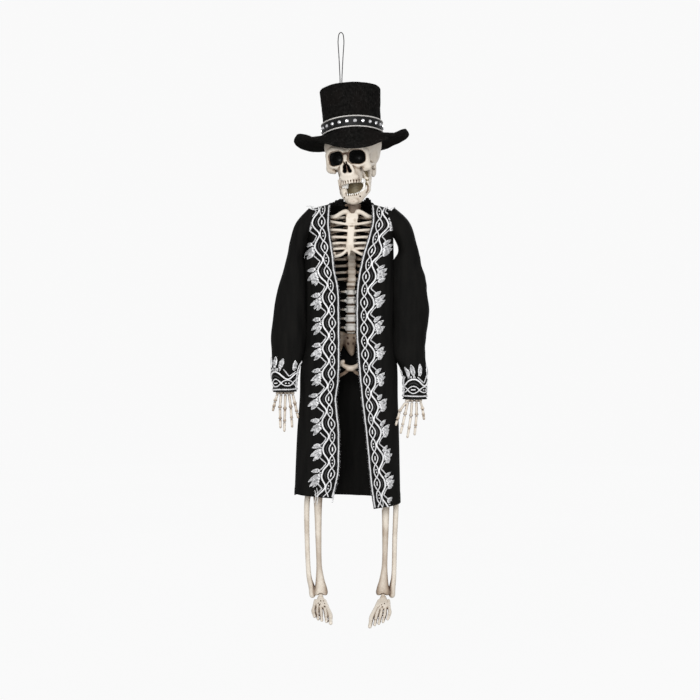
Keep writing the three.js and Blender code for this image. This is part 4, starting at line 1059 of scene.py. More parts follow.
def make_sleeve(name, trims):
    t = np.linspace(0, 1, 116)[:, None]
    turn = np.linspace(0, 2 * math.pi, 65)[None, :-1]
    outer, _ = sleeve_place(name, t, turn)
    inner, _ = sleeve_place(name, t, turn, -CLOTH)
    rows, columns = outer.shape[:2]
    count = rows * columns
    j = np.arange(columns)
    k = (j + 1) % columns
    foot = (rows - 1) * columns
    faces = np.concatenate([
        grid_faces(rows, columns, around=True)[:, ::-1],
        grid_faces(rows, columns, around=True, start=count),
        np.stack([foot + j, foot + count + j, foot + count + k, foot + k], -1)[:, ::-1],
        np.stack([j, k, count + k, count + j], -1)[:, ::-1],
    ])
    sleeve = make_mesh("coat_sleeve_" + name, np.concatenate([outer, inner]), faces, CLOTH_BLACK)
    u = np.broadcast_to(turn * 10.5, (rows, columns))
    v = np.broadcast_to(t * 165, (rows, columns))
    add_uv(sleeve, np.tile(np.stack([u, v], -1).reshape(-1, 2), (2, 1)))
    piece(sleeve, "coat_cloth", "sleeve_" + name)


# The embroidery

def stitched(bundle, line, normals, width, height, pitch=0.75, tone=0.0, taper=0.0, rib=0.06):
    """A raised line of slanting stitches along points on the cloth."""
    if len(line) < 3:
        return
    walked = walked_along(line)
    along = unit(np.gradient(line, axis=0))
    side = unit(np.cross(along, normals))
    corners = np.radians([-8, 22, 55, 90, 125, 158, 188, 270])
    across, up = np.cos(corners), np.sin(corners)
    up = np.where(up < -0.5, -0.35, up)
    ends = 1.0
    if taper:
        reach = np.minimum(walked, walked[-1] - walked)
        ends = np.clip(0.25 + reach / taper, 0, 1)[:, None]
    slant = np.sin(2 * math.pi * (walked[:, None] + across[None, :] * width * 0.5) / pitch)
    swell = (1 + rib * slant) * ends
    rings = (line[:, None] + side[:, None] * (across[None, :] * swell * width / 2)[..., None]
             + normals[:, None] * (up[None, :] * swell * height)[..., None])
    # Painted light: lighter on each stitch's crest and on the line's top, darker below.
    shade = tone + 0.55 * slant + 0.25 * (up[None, :] - 0.5)
    bundle.loft(rings, np.append(shade.ravel(), [tone, tone]))


def leaf(bundle, place, root, tip, width, source):
    """A satin-stitched leaf between two places on the cloth, each a reach u and a run s."""
    root, tip = np.array(root, float), np.array(tip, float)
    length = np.linalg.norm(tip - root)
    along = (tip - root) / length
    across = np.array([-along[1], along[0]])
    bow = source.uniform(-0.5, 0.5)
    rows, columns = 17, 7
    share = np.linspace(0, 1, rows)[:, None]
    cross = np.linspace(-1, 1, columns)[None, :]
    outline = np.sin(math.pi * (0.06 + 0.9 * share) ** 0.9) ** 0.75 * width / 2
    outline = outline * (1 + 0.14 * waves(share * length, seed=int(tip[1] * 7) % 90, longest=3.4))
    slant = 0.45 * (1 - np.abs(cross)) * width / 2
    run = share * length + slant * 0.6
    lateral = cross * outline + bow * np.sin(share * math.pi)
    flat = root + run[..., None] * along + lateral[..., None] * across
    points, normals = place(flat[..., 0], flat[..., 1])
    ridges = np.sin(2 * math.pi * (share * length + np.abs(cross) * width * 0.5) / 0.62)
    dome = np.sqrt(np.clip(1 - cross ** 2, 0, 1)) * 0.75 + 0.1 * ridges + 0.12
    rim = 0.3 * np.exp(-((np.abs(cross) - 0.78) / 0.16) ** 2)
    groove = -0.3 * np.exp(-(cross / 0.13) ** 2)
    height = (dome + rim + groove) * np.minimum(1, np.minimum(share * 6 + 0.3, (1 - share) * 6 + 0.3))
    top = points + normals * height[..., None]
    low = points + normals * 0.05
    mesh_points, faces = shell(top, low)
    near_end = np.maximum(ramp(-share, -0.12, -0.04), ramp(share, 0.9, 0.98))
    near_edge = np.maximum(ramp(np.abs(cross), 0.62, 0.86), near_end)
    speckle = waves(points[..., 0], points[..., 2], seed=int(tip[1]) % 50, longest=2.4)
    # Lighter along each stitch's ridge, as painted light, with a bright outline round the leaf.
    shade = lerp(-0.6 + 0.6 * ridges + speckle, 1.7, near_edge)
    bundle.add(mesh_points, faces, np.concatenate([shade.ravel(), shade.ravel()]))


# The roots, tips and widths of a cluster's leaves, for each way that they lean, and the stem between
# two clusters: each place is a reach from the tape's cord and a run along it from the beat.
LEAVES = {
    1: [((15.6, -3.1), (22.2, -1.6), 3.9), ((15.4, 0.2), (23.2, 6.4), 4.0),
        ((15.2, 2.8), (21.2, 9.2), 3.9)],
    -1: [((13.9, 5.2), (18.6, 9.3), 3.4), ((15.0, 1.2), (21.6, 6.3), 3.8),
         ((15.4, -1.4), (21.6, 2.4), 3.7), ((16.0, -3.9), (20.6, -0.8), 3.5)],
}
SPARE_LEAF = ((15.2, 5.0), (18.8, 9.8), 3.0)
CUFF_LEAVES = [((15.8, -4.6), (24.2, -5.6), 3.6), ((16.2, -0.4), (25.4, -0.2), 3.8),
               ((15.8, 3.6), (24.0, 4.8), 3.6)]
STEM = [(15.8, 7.0), (14.2, 8.6), (12.4, 10.2), (11.2, 11.4), (12.0, 13.0), (13.6, 15.2), (15.4, 16.9)]
CHAIN_REACH, BULGE_REACH, VINE_REACH, TIE_REACH = 6.3, 9.1, 11.6, 14.3
BULGE_HALF = 4.4
FRAYS_PER_MM = 2.8


class Tape:
    """An embroidered tape. place(u, s) gives points of the cloth and their normals, where u is the reach
    from the tape's cord and s runs along it, from first to last."""

    def __init__(self, place, first, last, seed):
        self.place, self.first, self.last = place, first, last
        self.threads, self.dark = Bundle(), Bundle()
        self.source = np.random.default_rng(seed)
        self.s = np.arange(first, last, 0.5)
        self.unsteady = waves(self.s, seed=seed, longest=17, count=4)
        self.chain = CHAIN_REACH + 0.15 * self.unsteady

    def line_at(self, u, run, lift=0.0):
        points, normals = self.place(u, run)
        return points + normals * (0.12 + np.zeros(len(run)) + lift)[:, None], normals

    def embroider(self, beat, pitch, lean, fans=None):
        """The vine swings out at each beat. The leaves lean towards rising s where lean is 1 and towards
        falling s where it is -1. A cuff has its own fans of leaves, and no frayed edge."""
        self.add_cord()
        turn = 2 * math.pi * (self.s - beat) / pitch
        self.add_chain(turn)
        self.add_vine(turn)
        beats = range(math.floor((self.first - beat) / pitch), math.ceil((self.last - beat) / pitch) + 1)
        for middle in (beat + k * pitch for k in beats):
            self.add_bulge(middle)
            self.add_oval_stitches(middle, pitch)
            self.add_leaves(middle, lean, fans)
            self.add_stem(middle, lean, pitch)
            self.add_ties(middle, lean)
        if not fans:
            self.add_frays()

    def add_cord(self):
        """The cord along the opening, and the dark edge beside it."""
        cord, normals = self.line_at(1.1 + 0.12 * self.unsteady, self.s)
        twisted(self.threads, cord + normals * 0.45, 0.74, pitch=1.7, facing=normals, tone=0.3)
        edge, normals = self.line_at(2.55 + 0.1 * self.unsteady, self.s)
        stitched(self.dark, edge, normals, 0.8, 0.5, tone=-1.6)

    def add_chain(self, turn):
        """Two strands that cross twice in each motif."""
        swing = np.cos(turn)
        swing = np.sign(swing) * np.abs(swing) ** 0.85 * (2.35 + 0.3 * swing)
        for sign in (1, -1):
            over = 0.22 * sign * np.cos(turn / 2 + 0.6) ** 3
            strand, normals = self.line_at(self.chain + sign * swing, self.s, over)
            stitched(self.threads, strand, normals, 0.92, 0.62, pitch=0.8, tone=0.5)

    def add_vine(self, turn):
        vine = VINE_REACH + 2.4 * np.cos(turn) - 0.22 * np.cos(2 * turn) + 0.2 * self.unsteady
        strand, normals = self.line_at(vine, self.s, 0.1)
        stitched(self.threads, strand, normals, 1.25, 0.85, pitch=0.9, tone=1.0, rib=0.04)

    def add_bulge(self, middle):
        """A darker line inside the vine's bulge."""
        arc = np.arange(middle - BULGE_HALF, middle + BULGE_HALF, 0.4)
        arc = arc[(arc > self.first) & (arc < self.last)]
        if len(arc) > 4:
            swell = np.cos((arc - middle) / BULGE_HALF * math.pi / 2)
            strand, normals = self.line_at(BULGE_REACH + 2.1 * swell, arc)
            stitched(self.dark, strand, normals, 0.7, 0.5, tone=2.2, taper=2)

    def add_oval_stitches(self, middle, pitch):
        """One long stitch in the chain's wide oval and two short ones in its narrow oval."""
        source = self.source
        for centre, shifts, half in ((middle, (0,), 1.9), (middle + pitch / 2, (-1.15, 1.15), 0.65)):
            for shift in shifts:
                run = np.linspace(-half, half, 11) + centre + shift + source.uniform(-0.2, 0.2)
                if run[0] < self.first or run[-1] > self.last:
                    continue
                u = np.interp(run, self.s, self.chain) + source.uniform(-0.2, 0.2)
                strand, normals = self.line_at(u, run, 0.1)
                width = source.uniform(0.9, 1.1)
                stitched(self.threads, strand, normals, width, 0.5, tone=0.9, taper=0.7)

    def add_leaves(self, middle, lean, fans):
        source = self.source
        cluster = list(fans or LEAVES[lean])
        if lean > 0 and not fans and source.random() < 0.5:
            cluster.append(SPARE_LEAF)
        for root, tip, width in cluster:
            tip = np.array(tip) + source.uniform(-0.7, 0.7, 2)
            ends = np.array([root, tip]) * (1, lean) + (0, middle)
            if ends[:, 1].min() > self.first + 0.5 and ends[:, 1].max() < self.last - 0.5:
                leaf(self.threads, self.place, ends[0], ends[1], width * source.uniform(0.82, 1.0), source)

    def add_stem(self, middle, lean, pitch):
        """In from the last leaf to the vine's inner bend, and out to the next cluster."""
        route = np.array(STEM) * (1, lean * pitch / MOTIF_LENGTH) + (0, middle)
        route[1:-1] += self.source.uniform(-0.12, 0.12, (len(route) - 2, 2))
        fine = even_line(route, 0.5)
        fine = fine[(fine[:, 1] > self.first) & (fine[:, 1] < self.last)]
        if len(fine) > 4:
            points, normals = self.place(fine[:, 0], fine[:, 1])
            twisted(self.threads, points + normals * 0.45, 0.62, pitch=1.7, facing=normals, tone=0.1)

    def add_ties(self, middle, lean):
        """Little stitches that tie a cluster down."""
        run = np.linspace(0, 1, 6)
        for n in range(5):
            at = middle + lean * (n * 1.35 - 1.6)
            if self.first + 1 < at < self.last - 1:
                slanted = at + lean * run * self.source.uniform(-0.3, 1.0)
                strand, normals = self.line_at(TIE_REACH + 2.0 * run, slanted)
                stitched(self.threads, strand, normals, 0.75, 0.5, tone=0.5, taper=0.8)

    def add_frays(self):
        """Frayed ends of the cord, on the side of the opening."""
        source = self.source
        up = np.array([0, 0, 1.0])
        steps = np.linspace(0, 1, 5)
        for _ in range(int((self.last - self.first) * FRAYS_PER_MM)):
            at = source.uniform(self.first, self.last)
            reach = source.uniform(0.5, 1.7)
            drift = source.normal() * 0.7
            root, normal = self.place(np.array([0.7]), np.array([at]))
            tip, _ = self.place(np.array([0.0]), np.array([at + 0.3]))
            inward = unit(tip[0] - root[0] + 1e-6)
            line = root[0] + inward * (steps * reach)[:, None] + up * (drift * steps ** 2)[:, None]
            line = line + normal[0] * (0.3 + source.uniform(-0.2, 0.6) * steps)[:, None]
            thin = 0.085 * (1 - 0.7 * steps)[:, None]
            ring = np.stack([line + up * thin, line + normal[0] * thin, line - up * thin], 1)
            bundle = self.threads if source.random() < 0.7 else self.dark
            bundle.loft(ring, source.uniform(-0.8, 0.6))


# Threads that stick out of the borders' ends: a radius and a route each
LOOSE_THREADS = {
    "right": [(0.32, [(-21, -20.5, -374), (-20.2, -21.5, -379), (-21.3, -21, -384)]),
              (0.7, [(-5.4, -21, -376), (-6.2, -21.6, -380), (-6.9, -21.6, -384)]),
              (0.32, [(-19.5, -20.5, -372), (-18.6, -21.6, -379), (-19.4, -21, -386)]),
              (0.4, [(-20, -6, -145), (-24, -7, -143.6), (-28, -5, -143.2)]),
              (0.4, [(-18, -6, -146), (-22.5, -8, -146.4), (-26.4, -6, -144.9)])],
    "left": [(0.4, [(39, -6, -147), (41.5, -6.4, -145), (44.4, -5, -144.2)]),
             (0.32, [(33, -20.5, -379), (34.1, -21.5, -384.5), (33.4, -21, -389.5)])],
}


def finish_tape(tape, embroidered, node, edging):
    """The tape's two pieces: its embroidery and its dark edge."""
    return [piece(tape.threads.build(embroidered, STITCH), "embroidery", node),
            piece(tape.dark.build(edging, BLACK_CORD), "coat_cloth")]


def make_border(name):
    def place(u, drop):
        edge = curve_at(COAT_EDGE[name], drop)
        reach = np.asarray(u) * curve_at(BORDER_SHARE[name], drop)
        return coat_surface(edge + SIDES[name] * reach, drop, False)

    beat, pitch, lean, seed = BORDER_MOTIFS[name]
    tape = Tape(place, BORDER_TOP_DROP, COAT_HEM[name][1] - 1.0, seed)
    tape.embroider(beat, pitch, lean)
    for radius, route in LOOSE_THREADS[name]:
        twisted(tape.threads, even_line(route, 0.4), radius, pitch=1.3, tone=0.3)
    return finish_tape(tape, "embroidered_border_" + name, "border_" + name, "border_ground_" + name)


def make_cuff(name):
    """The tape round a sleeve's foot: its cord is at the foot and its leaves point up."""
    rows = np.array(SLEEVES[name])
    walked = walked_along(rows[:, :3])
    around = 2 * math.pi * CUFF_RADIUS
    beat, set_back = CUFF_MOTIFS[name]

    def place(u, s):
        t = np.interp(walked[-1] - np.asarray(u) - set_back, walked, np.linspace(0, 1, len(rows)))
        return sleeve_place(name, t, -math.pi / 2 + SIDES[name] * np.asarray(s) / CUFF_RADIUS)

    tape = Tape(place, 0, around, seed=51 + SIDES[name])
    tape.embroider(beat, around / 3, 1, fans=CUFF_LEAVES)
    # Dark loops over the foot's edge
    for n in range(CUFF_LOOPS):
        s = (n + 0.5) / CUFF_LOOPS * around
        ring, normals = place(np.full(9, 0.3 - set_back) - 0.9 * np.sin(np.linspace(0, math.pi, 9)),
                              s + np.linspace(-0.85, 0.85, 9))
        stitched(tape.dark, ring, normals, 0.9, 0.7, tone=-1.4)
    # The tape's end, down the side of the sleeve that faces the coat
    seam, normals = place(np.linspace(1, 17, 40), np.full(40, around / 2 + 10.5))
    twisted(tape.threads, seam + normals * 0.5, 0.75, pitch=1.7, facing=normals, tone=0.3)
    return finish_tape(tape, "embroidered_cuff_" + name, "cuff_border_" + name, "cuff_edging_" + name)


def make_coat():
    for name in SIDES:
        trims = make_border(name)
        cloth_sheet("coat_front_" + name, partial(front_grid, name))
        make_sleeve(name, make_cuff(name))

    edging = Bundle()
    source = np.random.default_rng(61)
    for x in np.linspace(-9, 25.5, 30):
        top = curve_at(COLLAR_TOP, x) + source.uniform(-0.5, 0.5)
        places = x + np.linspace(0, source.uniform(-0.6, 0.6), 8)
        point, normal = coat_surface(places, np.linspace(141.8, top, 8), True)
        stitched(edging, point, normal, 2.3, 1.1, tone=-1.4, rib=0.12)
    collar = piece(edging.build("collar_edging", BLACK_CORD), "coat_cloth")
    cloth_sheet("coat_back", back_grid)


# The bones

def bone_object(name, clay, *nodes, place=None, paint=None):
    """A bone from its field: place moves its points into the figure's frame, paint marks its dark and white
    parts, painted shade and painted light among them.
    """
    points, faces, hollow = clay.skin()
    marks = np.zeros(len(points)) if paint is None else paint(points)
    if place is not None:
        points = place(points)
    thing = make_mesh(name, points, faces, BONE, colours={"hollow": hollow, "paint": marks})
    piece(thing, "bone_plastic", *nodes)


def column(rows, power=2.5):
    """A closed form with a rounded-square section at each height: rows of (z, y, half width, half depth),
    and x where its middle isn't at 0."""
    rows = sorted((*row, 0.0)[:5] for row in rows)
    levels, middles_y, widths, depths, middles_x = np.array(rows, float).T
    low = np.array([(middles_x - widths).min(), (middles_y - depths).min(), levels[0]])
    high = np.array([(middles_x + widths).max(), (middles_y + depths).max(), levels[-1]])

    def distance(axes):
        x, y, z = axes
        middle_y, wide, deep, middle_x = (
            curve_at(list(zip(levels, values)), z.ravel()).astype(np.float32).reshape(z.shape)
            for values in (middles_y, widths, depths, middles_x))
        aside, ahead = np.abs(x - middle_x) / wide, np.abs(y - middle_y) / deep
        spread = (aside ** power + ahead ** power) ** (1 / power)
        wall = (spread - 1) * np.minimum(wide, deep) * np.float32(0.9)
        caps = np.maximum(z - np.float32(levels[-1]), np.float32(levels[0]) - z)
        return np.maximum(wall, caps)

    return low, high, distance


def form_distance(form, points):
    return form[2]([points[:, k].astype(np.float32) for k in range(3)])


def groove(clay, rows, blend=0.4, side=1):
    """Cuts a smooth channel along rows of (x, y, z, radius)."""
    line = row_at(sided(rows, side, 0), np.linspace(0, 1, 4 * len(rows)))
    for one, two in zip(line[:-1], line[1:]):
        clay.cut(rod(one[:3], two[:3], one[3], two[3]), blend)


# The head, in its own frame: its middle at the origin, facing -Y

HEAD_TURN = np.array((Euler((0, HEAD_ROLL, 0)).to_matrix() @ Euler((0, 0, HEAD_YAW)).to_matrix()))
EYE_X, EYE_Z = 8.5, -11.5
RIGHT_EYE_X = 8.0
BRAIN_CASE_AT, BRAIN_CASE = (0, 0.6, -0.5), (23.2, 24.8, 22)
TOOTH_TURN = 0.255
TOOTH_SLOPE = 0.08
# How far the middle of the face, and of the jaw, stands aside of the brain case's, by height
FACE_SHIFT = [(-50, 2.1), (-44, 1.2), (-36, 0.6), (-30, 0.9), (-24, 0), (-17, -1), (0, -1), (8, 0)]
JAW_SHIFT = [(-50, 2.1), (-48, 1.9), (-43, 0.7), (-36, 0.2), (-24, -0.9), (-17, -1)]


def head_place(points, shift=FACE_SHIFT):
    """Moves points of the head into the figure's frame."""
    aside = curve_at(shift, points[:, 2]) * (1 - ramp(points[:, 1], -10, 4))
    points = points + np.stack([aside, 0 * aside, 0 * aside], 1)
    return points @ HEAD_TURN.T + np.array(HEAD_AT)


def socket_forms(side):
    eye_x = -RIGHT_EYE_X if side == RIGHT else EYE_X
    return [
        brick((eye_x, -26, EYE_Z), (5.9, 9.5, 5.6), 4.0, turned(y=side * 5, z=-side * 9)),
        ball((eye_x, -20, EYE_Z + 0.1), (5.4, 9.5, 5.0)),
    ]


def nose_forms(side):
    return [
        ball((side * 0.95, -27, -16.9), (0.6, 9, 2.2)),
        ball((side * 1.75, -27, -20.0), (1.3, 9, 2.5)),
        ball((side * 2.15, -27, -22.5), (1.7, 9, 1.7)),
    ]


def face_front(x):
    """How far forward the rims of the eyes stand, at distances from the face's middle."""
    return -24.7 + 0.0235 * np.asarray(x) ** 2


# Cracks and pits on each side of the head: how soft an edge each has, and its path outward
HEAD_CRACKS = [
    # Under the eye
    (0.4, [(6.6, -25.2, -19.4, 0.3), (8.4, -24.2, -20.6, 0.45), (9.6, -23.4, -20.2, 0.3)]),
    (0.4, [(10.6, -22.8, -19.6, 0.35), (12.0, -21.6, -20.0, 0.5), (12.8, -20.8, -20.8, 0.3)]),
    # Beside the nose and the upper jaw
    (0.6, [(5.4, -25.6, -18.6, 0.25), (6.6, -25.0, -21.4, 0.4), (8.0, -23.4, -24.4, 0.55),
           (8.9, -21.6, -27.0, 0.3)]),
    # On the cheekbone, behind the ear and in the temple
    (0.4, [(15.6, -19.4, -14.6, 0.3), (16.6, -17.6, -15.4, 0.35), (17.6, -15.4, -15.0, 0.3)]),
    (0.4, [(16.6, 4.4, -12.6, 0.4), (16.0, 4.8, -16, 0.5), (15.2, 4.4, -19.6, 0.4)]),
    (0.4, [(19.4, -8.6, -11.6, 0.4), (18.2, -9.6, -13.4, 0.6), (17.6, -8.4, -14.8, 0.4)]),
    # The crease beside the nose bones
    (0.4, [(1.0, -26.0, -8.6, 0.4), (2.2, -26.0, -10.4, 0.45), (3.4, -25.8, -13.6, 0.35)]),
]
SUTURES = [
    [(0, -8, 25.0), (0.8, 4, 25.2), (-0.6, 14, 20.8), (0, 20, 15)],
    [(0, 20, 15), (9, 19.6, 8), (16, 14.6, 2)],
    [(0, 20, 15), (-9, 19.6, 8), (-16, 14.6, 2)],
    [(22.4, -3, 4), (14, -7, 18.6), (0, -8, 24.6), (-14, -7, 18.6), (-22.4, -3, 4)],
]


def add_cheek(clay, side):
    """One side of the face, from the brow to the ear."""
    # Brow and the outer rim of the eye
    bone(clay, [(2.0, -24.2, -6.4, 1.7), (5, -24.8, -5.0, 1.6), (9.5, -24.0, -4.2, 1.6),
                (13.6, -21.8, -5.2, 1.8), (15.7, -19.4, -8.2, 2.0)], blend=1.8, side=side)
    bone(clay, [(15.4, -19.2, -7, 2.0), (15.5, -17.8, -12, 2.2), (14.8, -17.8, -17, 3.0)],
         blend=1.6, side=side)
    # Cheekbone, with a corner below
    clay.add(ball((side * 14.9, -17.6, -19.0), (3.9, 3.2, 3.6)), 1.6)
    bone(clay, [(13.4, -18.4, -19.6, 2.6), (12.8, -17.6, -21.4, 1.5)], blend=1.0, side=side)
    # The arch back to the ear, the ear's own lump, and the knob behind it
    bone(clay, [(15.4, -16.6, -18.2, 2.4), (16.5, -12.0, -17.4, 1.8), (16.4, -6.5, -16.6, 1.4),
                (15.7, -1, -15.6, 1.5), (15.4, 3, -14.4, 2.0)], blend=1.0, side=side)
    clay.add(ball((side * 15.8, 1.6, -16.6), (1.9, 2.2, 3.0)), 0.7)
    clay.add(ball((side * 13.4, 7.2, -18.8), (2.8, 4.2, 6.9)), 1.2)
    # The eye's lower rim, and down from its inner corner
    bone(clay, [(13.6, -20.4, -16.6, 1.8), (9.4, -22.4, -18.2, 1.7), (5.6, -24.0, -17.0, 1.5),
                (3.6, -24.6, -13.6, 1.3), (2.7, -24.4, -9.5, 1.3)], blend=1.4, side=side)


def cut_eye_and_nose(clay, side):
    # A fine raised rim round the eye, then the eye itself
    turn = np.linspace(0, 2 * math.pi, 25)
    rim_x = EYE_X + np.sign(np.cos(turn)) * np.abs(np.cos(turn)) ** 0.75 * 6.4
    rim_z = EYE_Z + np.sign(np.sin(turn)) * np.abs(np.sin(turn)) ** 0.75 * 6.1
    rim_x = rim_x - (EYE_X - RIGHT_EYE_X if side == RIGHT else 0)
    rim = np.stack([side * rim_x, face_front(rim_x) + 0.35, rim_z], -1)
    for one, two in zip(rim[:-1], rim[1:]):
        clay.add(rod(one, two, 0.75, 0.75), 0.7)
    for form in socket_forms(side):
        clay.cut(form, 0.5)
    for form in nose_forms(side):
        clay.cut(form, 0.3)
    for soft, path in HEAD_CRACKS:
        groove(clay, path, soft, side=side)


def cut_sutures(clay):
    """Fine wavy lines over the brain case, where its plates meet."""
    centre, radii = np.array(BRAIN_CASE_AT), np.array(BRAIN_CASE)
    for path in SUTURES:
        line = even_line(path, 0.9)
        line = line + np.stack([waves(line[:, 1] + line[:, 2], seed=5, longest=4)] * 3, -1) * 0.5
        line = centre + unit((line - centre) / radii) * radii
        for a, b in zip(line[:-1], line[1:]):
            clay.cut(rod(a, b, 0.32, 0.32), 0.25)


def add_upper_teeth(clay):
    for i in range(-5, 5):
        turn = i * TOOTH_TURN
        x, y = math.sin(turn) * 8.4, -14.5 - math.cos(turn) * 11.2
        tilt = turned(x=-4, z=math.degrees(turn))
        clay.add(brick((x, y, -31.0 + x * TOOTH_SLOPE), (1.0, 1.0, 1.75), 0.7, tilt), 0.3)
        gum = [(x * 0.98, y + 0.1, -29.4 + x * TOOTH_SLOPE, 0.95), (x * 0.96, y + 0.5, -26.2, 0.7)]
        bone(clay, gum, blend=1.0)
    # A pit between each two at the gum
    for i in range(-4, 4):
        turn = (i + 0.5) * TOOTH_TURN
        x, y = math.sin(turn) * 8.7, -14.5 - math.cos(turn) * 12.0
        clay.cut(ball((x, y + 0.3, -30.6 + x * TOOTH_SLOPE), (0.35, 0.8, 0.8)), 0.25)
    # The molars, one more below on the right, and a thin curved strip below on the left
    for side in (RIGHT, LEFT):
        for y, x in ((-15.2, 8.0), (-12.2, 8.2), (-9.2, 8.2)):
            clay.add(brick((side * x, y, -30.2 + side * 0.5), (1.2, 1.35, 2.2), 0.8), 0.4)
    clay.add(brick((-6.4, -14.2, -33.0), (2.5, 1.3, 2.4), 0.9), 0.3)
    bone(clay, [(7.4, -12, -30.4, 0.85), (8.8, -12, -32.6, 0.85), (9.1, -12, -34.2, 0.85),
                (8.4, -12, -35.4, 0.8), (7.8, -12, -36.0, 0.6)], blend=0.3)


# Painted shade on the skull, in the crease between the eyes, beside the nose and in the left temple: how
# dark, and the line that each lies along with its radius at both ends
SKULL_SHADE_MARKS = [
    (0.36, rod((-3.2, -25.4, -8.8), (3.2, -25.4, -8.6), 0.5, 0.5)),
    (0.3, rod((2.6, -26, -9.4), (3.2, -25.8, -14.2), 0.5, 0.3)),
    (0.12, rod((16.6, -12, -9.6), (18.4, -9.4, -13.4), 1.2, 0.6)),
    (0.16, rod((18.4, -9.4, -13.4), (16.4, -12, -15.0), 0.6, 0.4)),
]


def paint_skull(points):
    """1 in the eyes and the nose, less for painted shade in the creases and the temple, and below 0 on the
    side teeth, painted white as painted light.
    """
    marks = np.zeros(len(points))
    rim = face_front(points[:, 0])
    for side in (RIGHT, LEFT):
        inner = np.minimum(*[form_distance(form, points) for form in socket_forms(side)])
        wall = 1 - ramp(np.abs(inner), 0.35, 1.1)
        marks = np.maximum(marks, wall * ramp(points[:, 1] - rim, -0.8, 0.6))
        edge = (1 - ramp(np.abs(inner - 0.3), 0.1, 0.4)) * (points[:, 1] < -14)
        marks = np.maximum(marks, 0.33 * edge)
        nose = np.minimum.reduce([form_distance(form, points) for form in nose_forms(side)])
        hole = 1 - ramp(np.abs(nose), 0.2, 0.6)
        marks = np.maximum(marks, hole * ramp(points[:, 1], -26.4, -25.0))
    for depth, wash_and_shade in SKULL_SHADE_MARKS:
        marks = np.maximum(marks, depth * (1 - ramp(form_distance(wash_and_shade, points), 0.2, 1.0)))
    # Painted light: the side teeth are painted white, brighter than the shade inside the mouth lets them be.
    molars = (points[:, 2] < -28.4) & (points[:, 1] > -17.5) & (points[:, 1] < -7)
    return np.where(molars & (np.abs(points[:, 0]) > 3.4), -0.42, marks)


def make_skull():
    clay = Clay((-25, -31, -37), (25, 27, 23), 0.48)
    clay.add(ball(BRAIN_CASE_AT, BRAIN_CASE))
    clay.add(column([(-28.6, -14.2, 8.2, 11.0), (-24.5, -13.8, 8.8, 11.9), (-20, -13, 10.4, 12.7),
                     (-16, -12.2, 12.8, 13.4), (-10, -10.8, 15.4, 14.3), (-4, -10, 17.0, 14.6),
                     (2, -9.6, 17.8, 14.0)]), 3.0)
    for side in (RIGHT, LEFT):
        # Temples, and the room for the jaw beside the upper teeth
        clay.cut(ball((side * 22.3, -7, -10.5), (5.2, 7.5, 6.4)), 2.4)
        clay.cut(ball((side * 24.9, 2, -7.4), (4.7, 16, 6.8)), 3.0)
        clay.cut(ball((side * 13.2, -4, -24.5), (4.0, 10, 9.8)), 1.2)
        clay.cut(ball((side * 11.6, -19.6, -24.6), (2.0, 3.0, 5.6), turned(y=side * 14)), 1.0)
    for side in (RIGHT, LEFT):
        add_cheek(clay, side)
    # The nose bones, and the rim of the nose holes
    bone(clay, [(0, -23.4, -7.4, 1.4), (0, -25.2, -10.6, 1.8), (0, -27.0, -14.4, 2.0)], blend=1.2)
    for side in (RIGHT, LEFT):
        bone(clay, [(0.8, -27.0, -14.6, 1.2), (3.0, -26.3, -17.4, 1.0), (4.3, -25.6, -20.6, 1.0),
                    (4.3, -25.4, -23.2, 1.1), (2.4, -25.7, -25.2, 1.2), (0, -26.1, -25.4, 1.2)],
             blend=1.6, side=side)
    clay.add(ball((0, -24.4, -27.2), (7.6, 2.4, 3.6)), 2.2)
    clay.add(column([(-29.6, -16.5, 8.6, 8.8), (-26.5, -17, 8.0, 8.6), (-22.5, -17.6, 6.2, 8.2)]), 1.6)
    for side in (RIGHT, LEFT):
        cut_eye_and_nose(clay, side)
    groove(clay, [(-2.4, -26.0, -8.4, 0.4), (0, -26.2, -8.0, 0.55), (2.4, -26.0, -8.4, 0.4)])
    # The roof of the mouth
    clay.cut(ball((0, -12.6, -33.0), (7.0, 9.6, 4.8)), 0.6)
    cut_sutures(clay)
    add_upper_teeth(clay)
    bone_object("skull_bone", clay, "skull", place=head_place, paint=paint_skull)


def add_lower_teeth(clay):
    """Small teeth in front, pointed ones that rise towards the back."""
    arch = [(0, -21.3, -40.4), (3.6, -20.3, -40.0), (6.4, -17.2, -38.4), (8.2, -13.6, -36.2),
            (9.4, -9.6, -34.2)]
    for i in range(-9, 10):
        x, y, top = row_at(arch, abs(i) / 9)
        x = math.copysign(x, i) if i else 0.0
        if abs(i) < 4:
            clay.add(brick((x, y, top - 1.5), (0.5, 0.6, 1.6), 0.45), 0.1)
        else:
            clay.add(rod((x, y, top - 2.8), (x * 0.97, y + 0.2, top - 0.3), 0.85, 0.4), 0.15)


def jaw_place(points):
    return head_place(points, JAW_SHIFT)


def paint_jaw(points):
    """Below 0 on the teeth above the gum, painted white as painted light."""
    gum = curve_at([(-25, -41.9), (-21, -41.7), (-16, -39.6), (-9, -36.4), (0, -34)], points[:, 1])
    toothed = (points[:, 1] < -8.6) * (np.abs(points[:, 0] - 3.6) < 7.4)
    return -0.38 * ramp(points[:, 2] - gum, 0, 0.6) * toothed


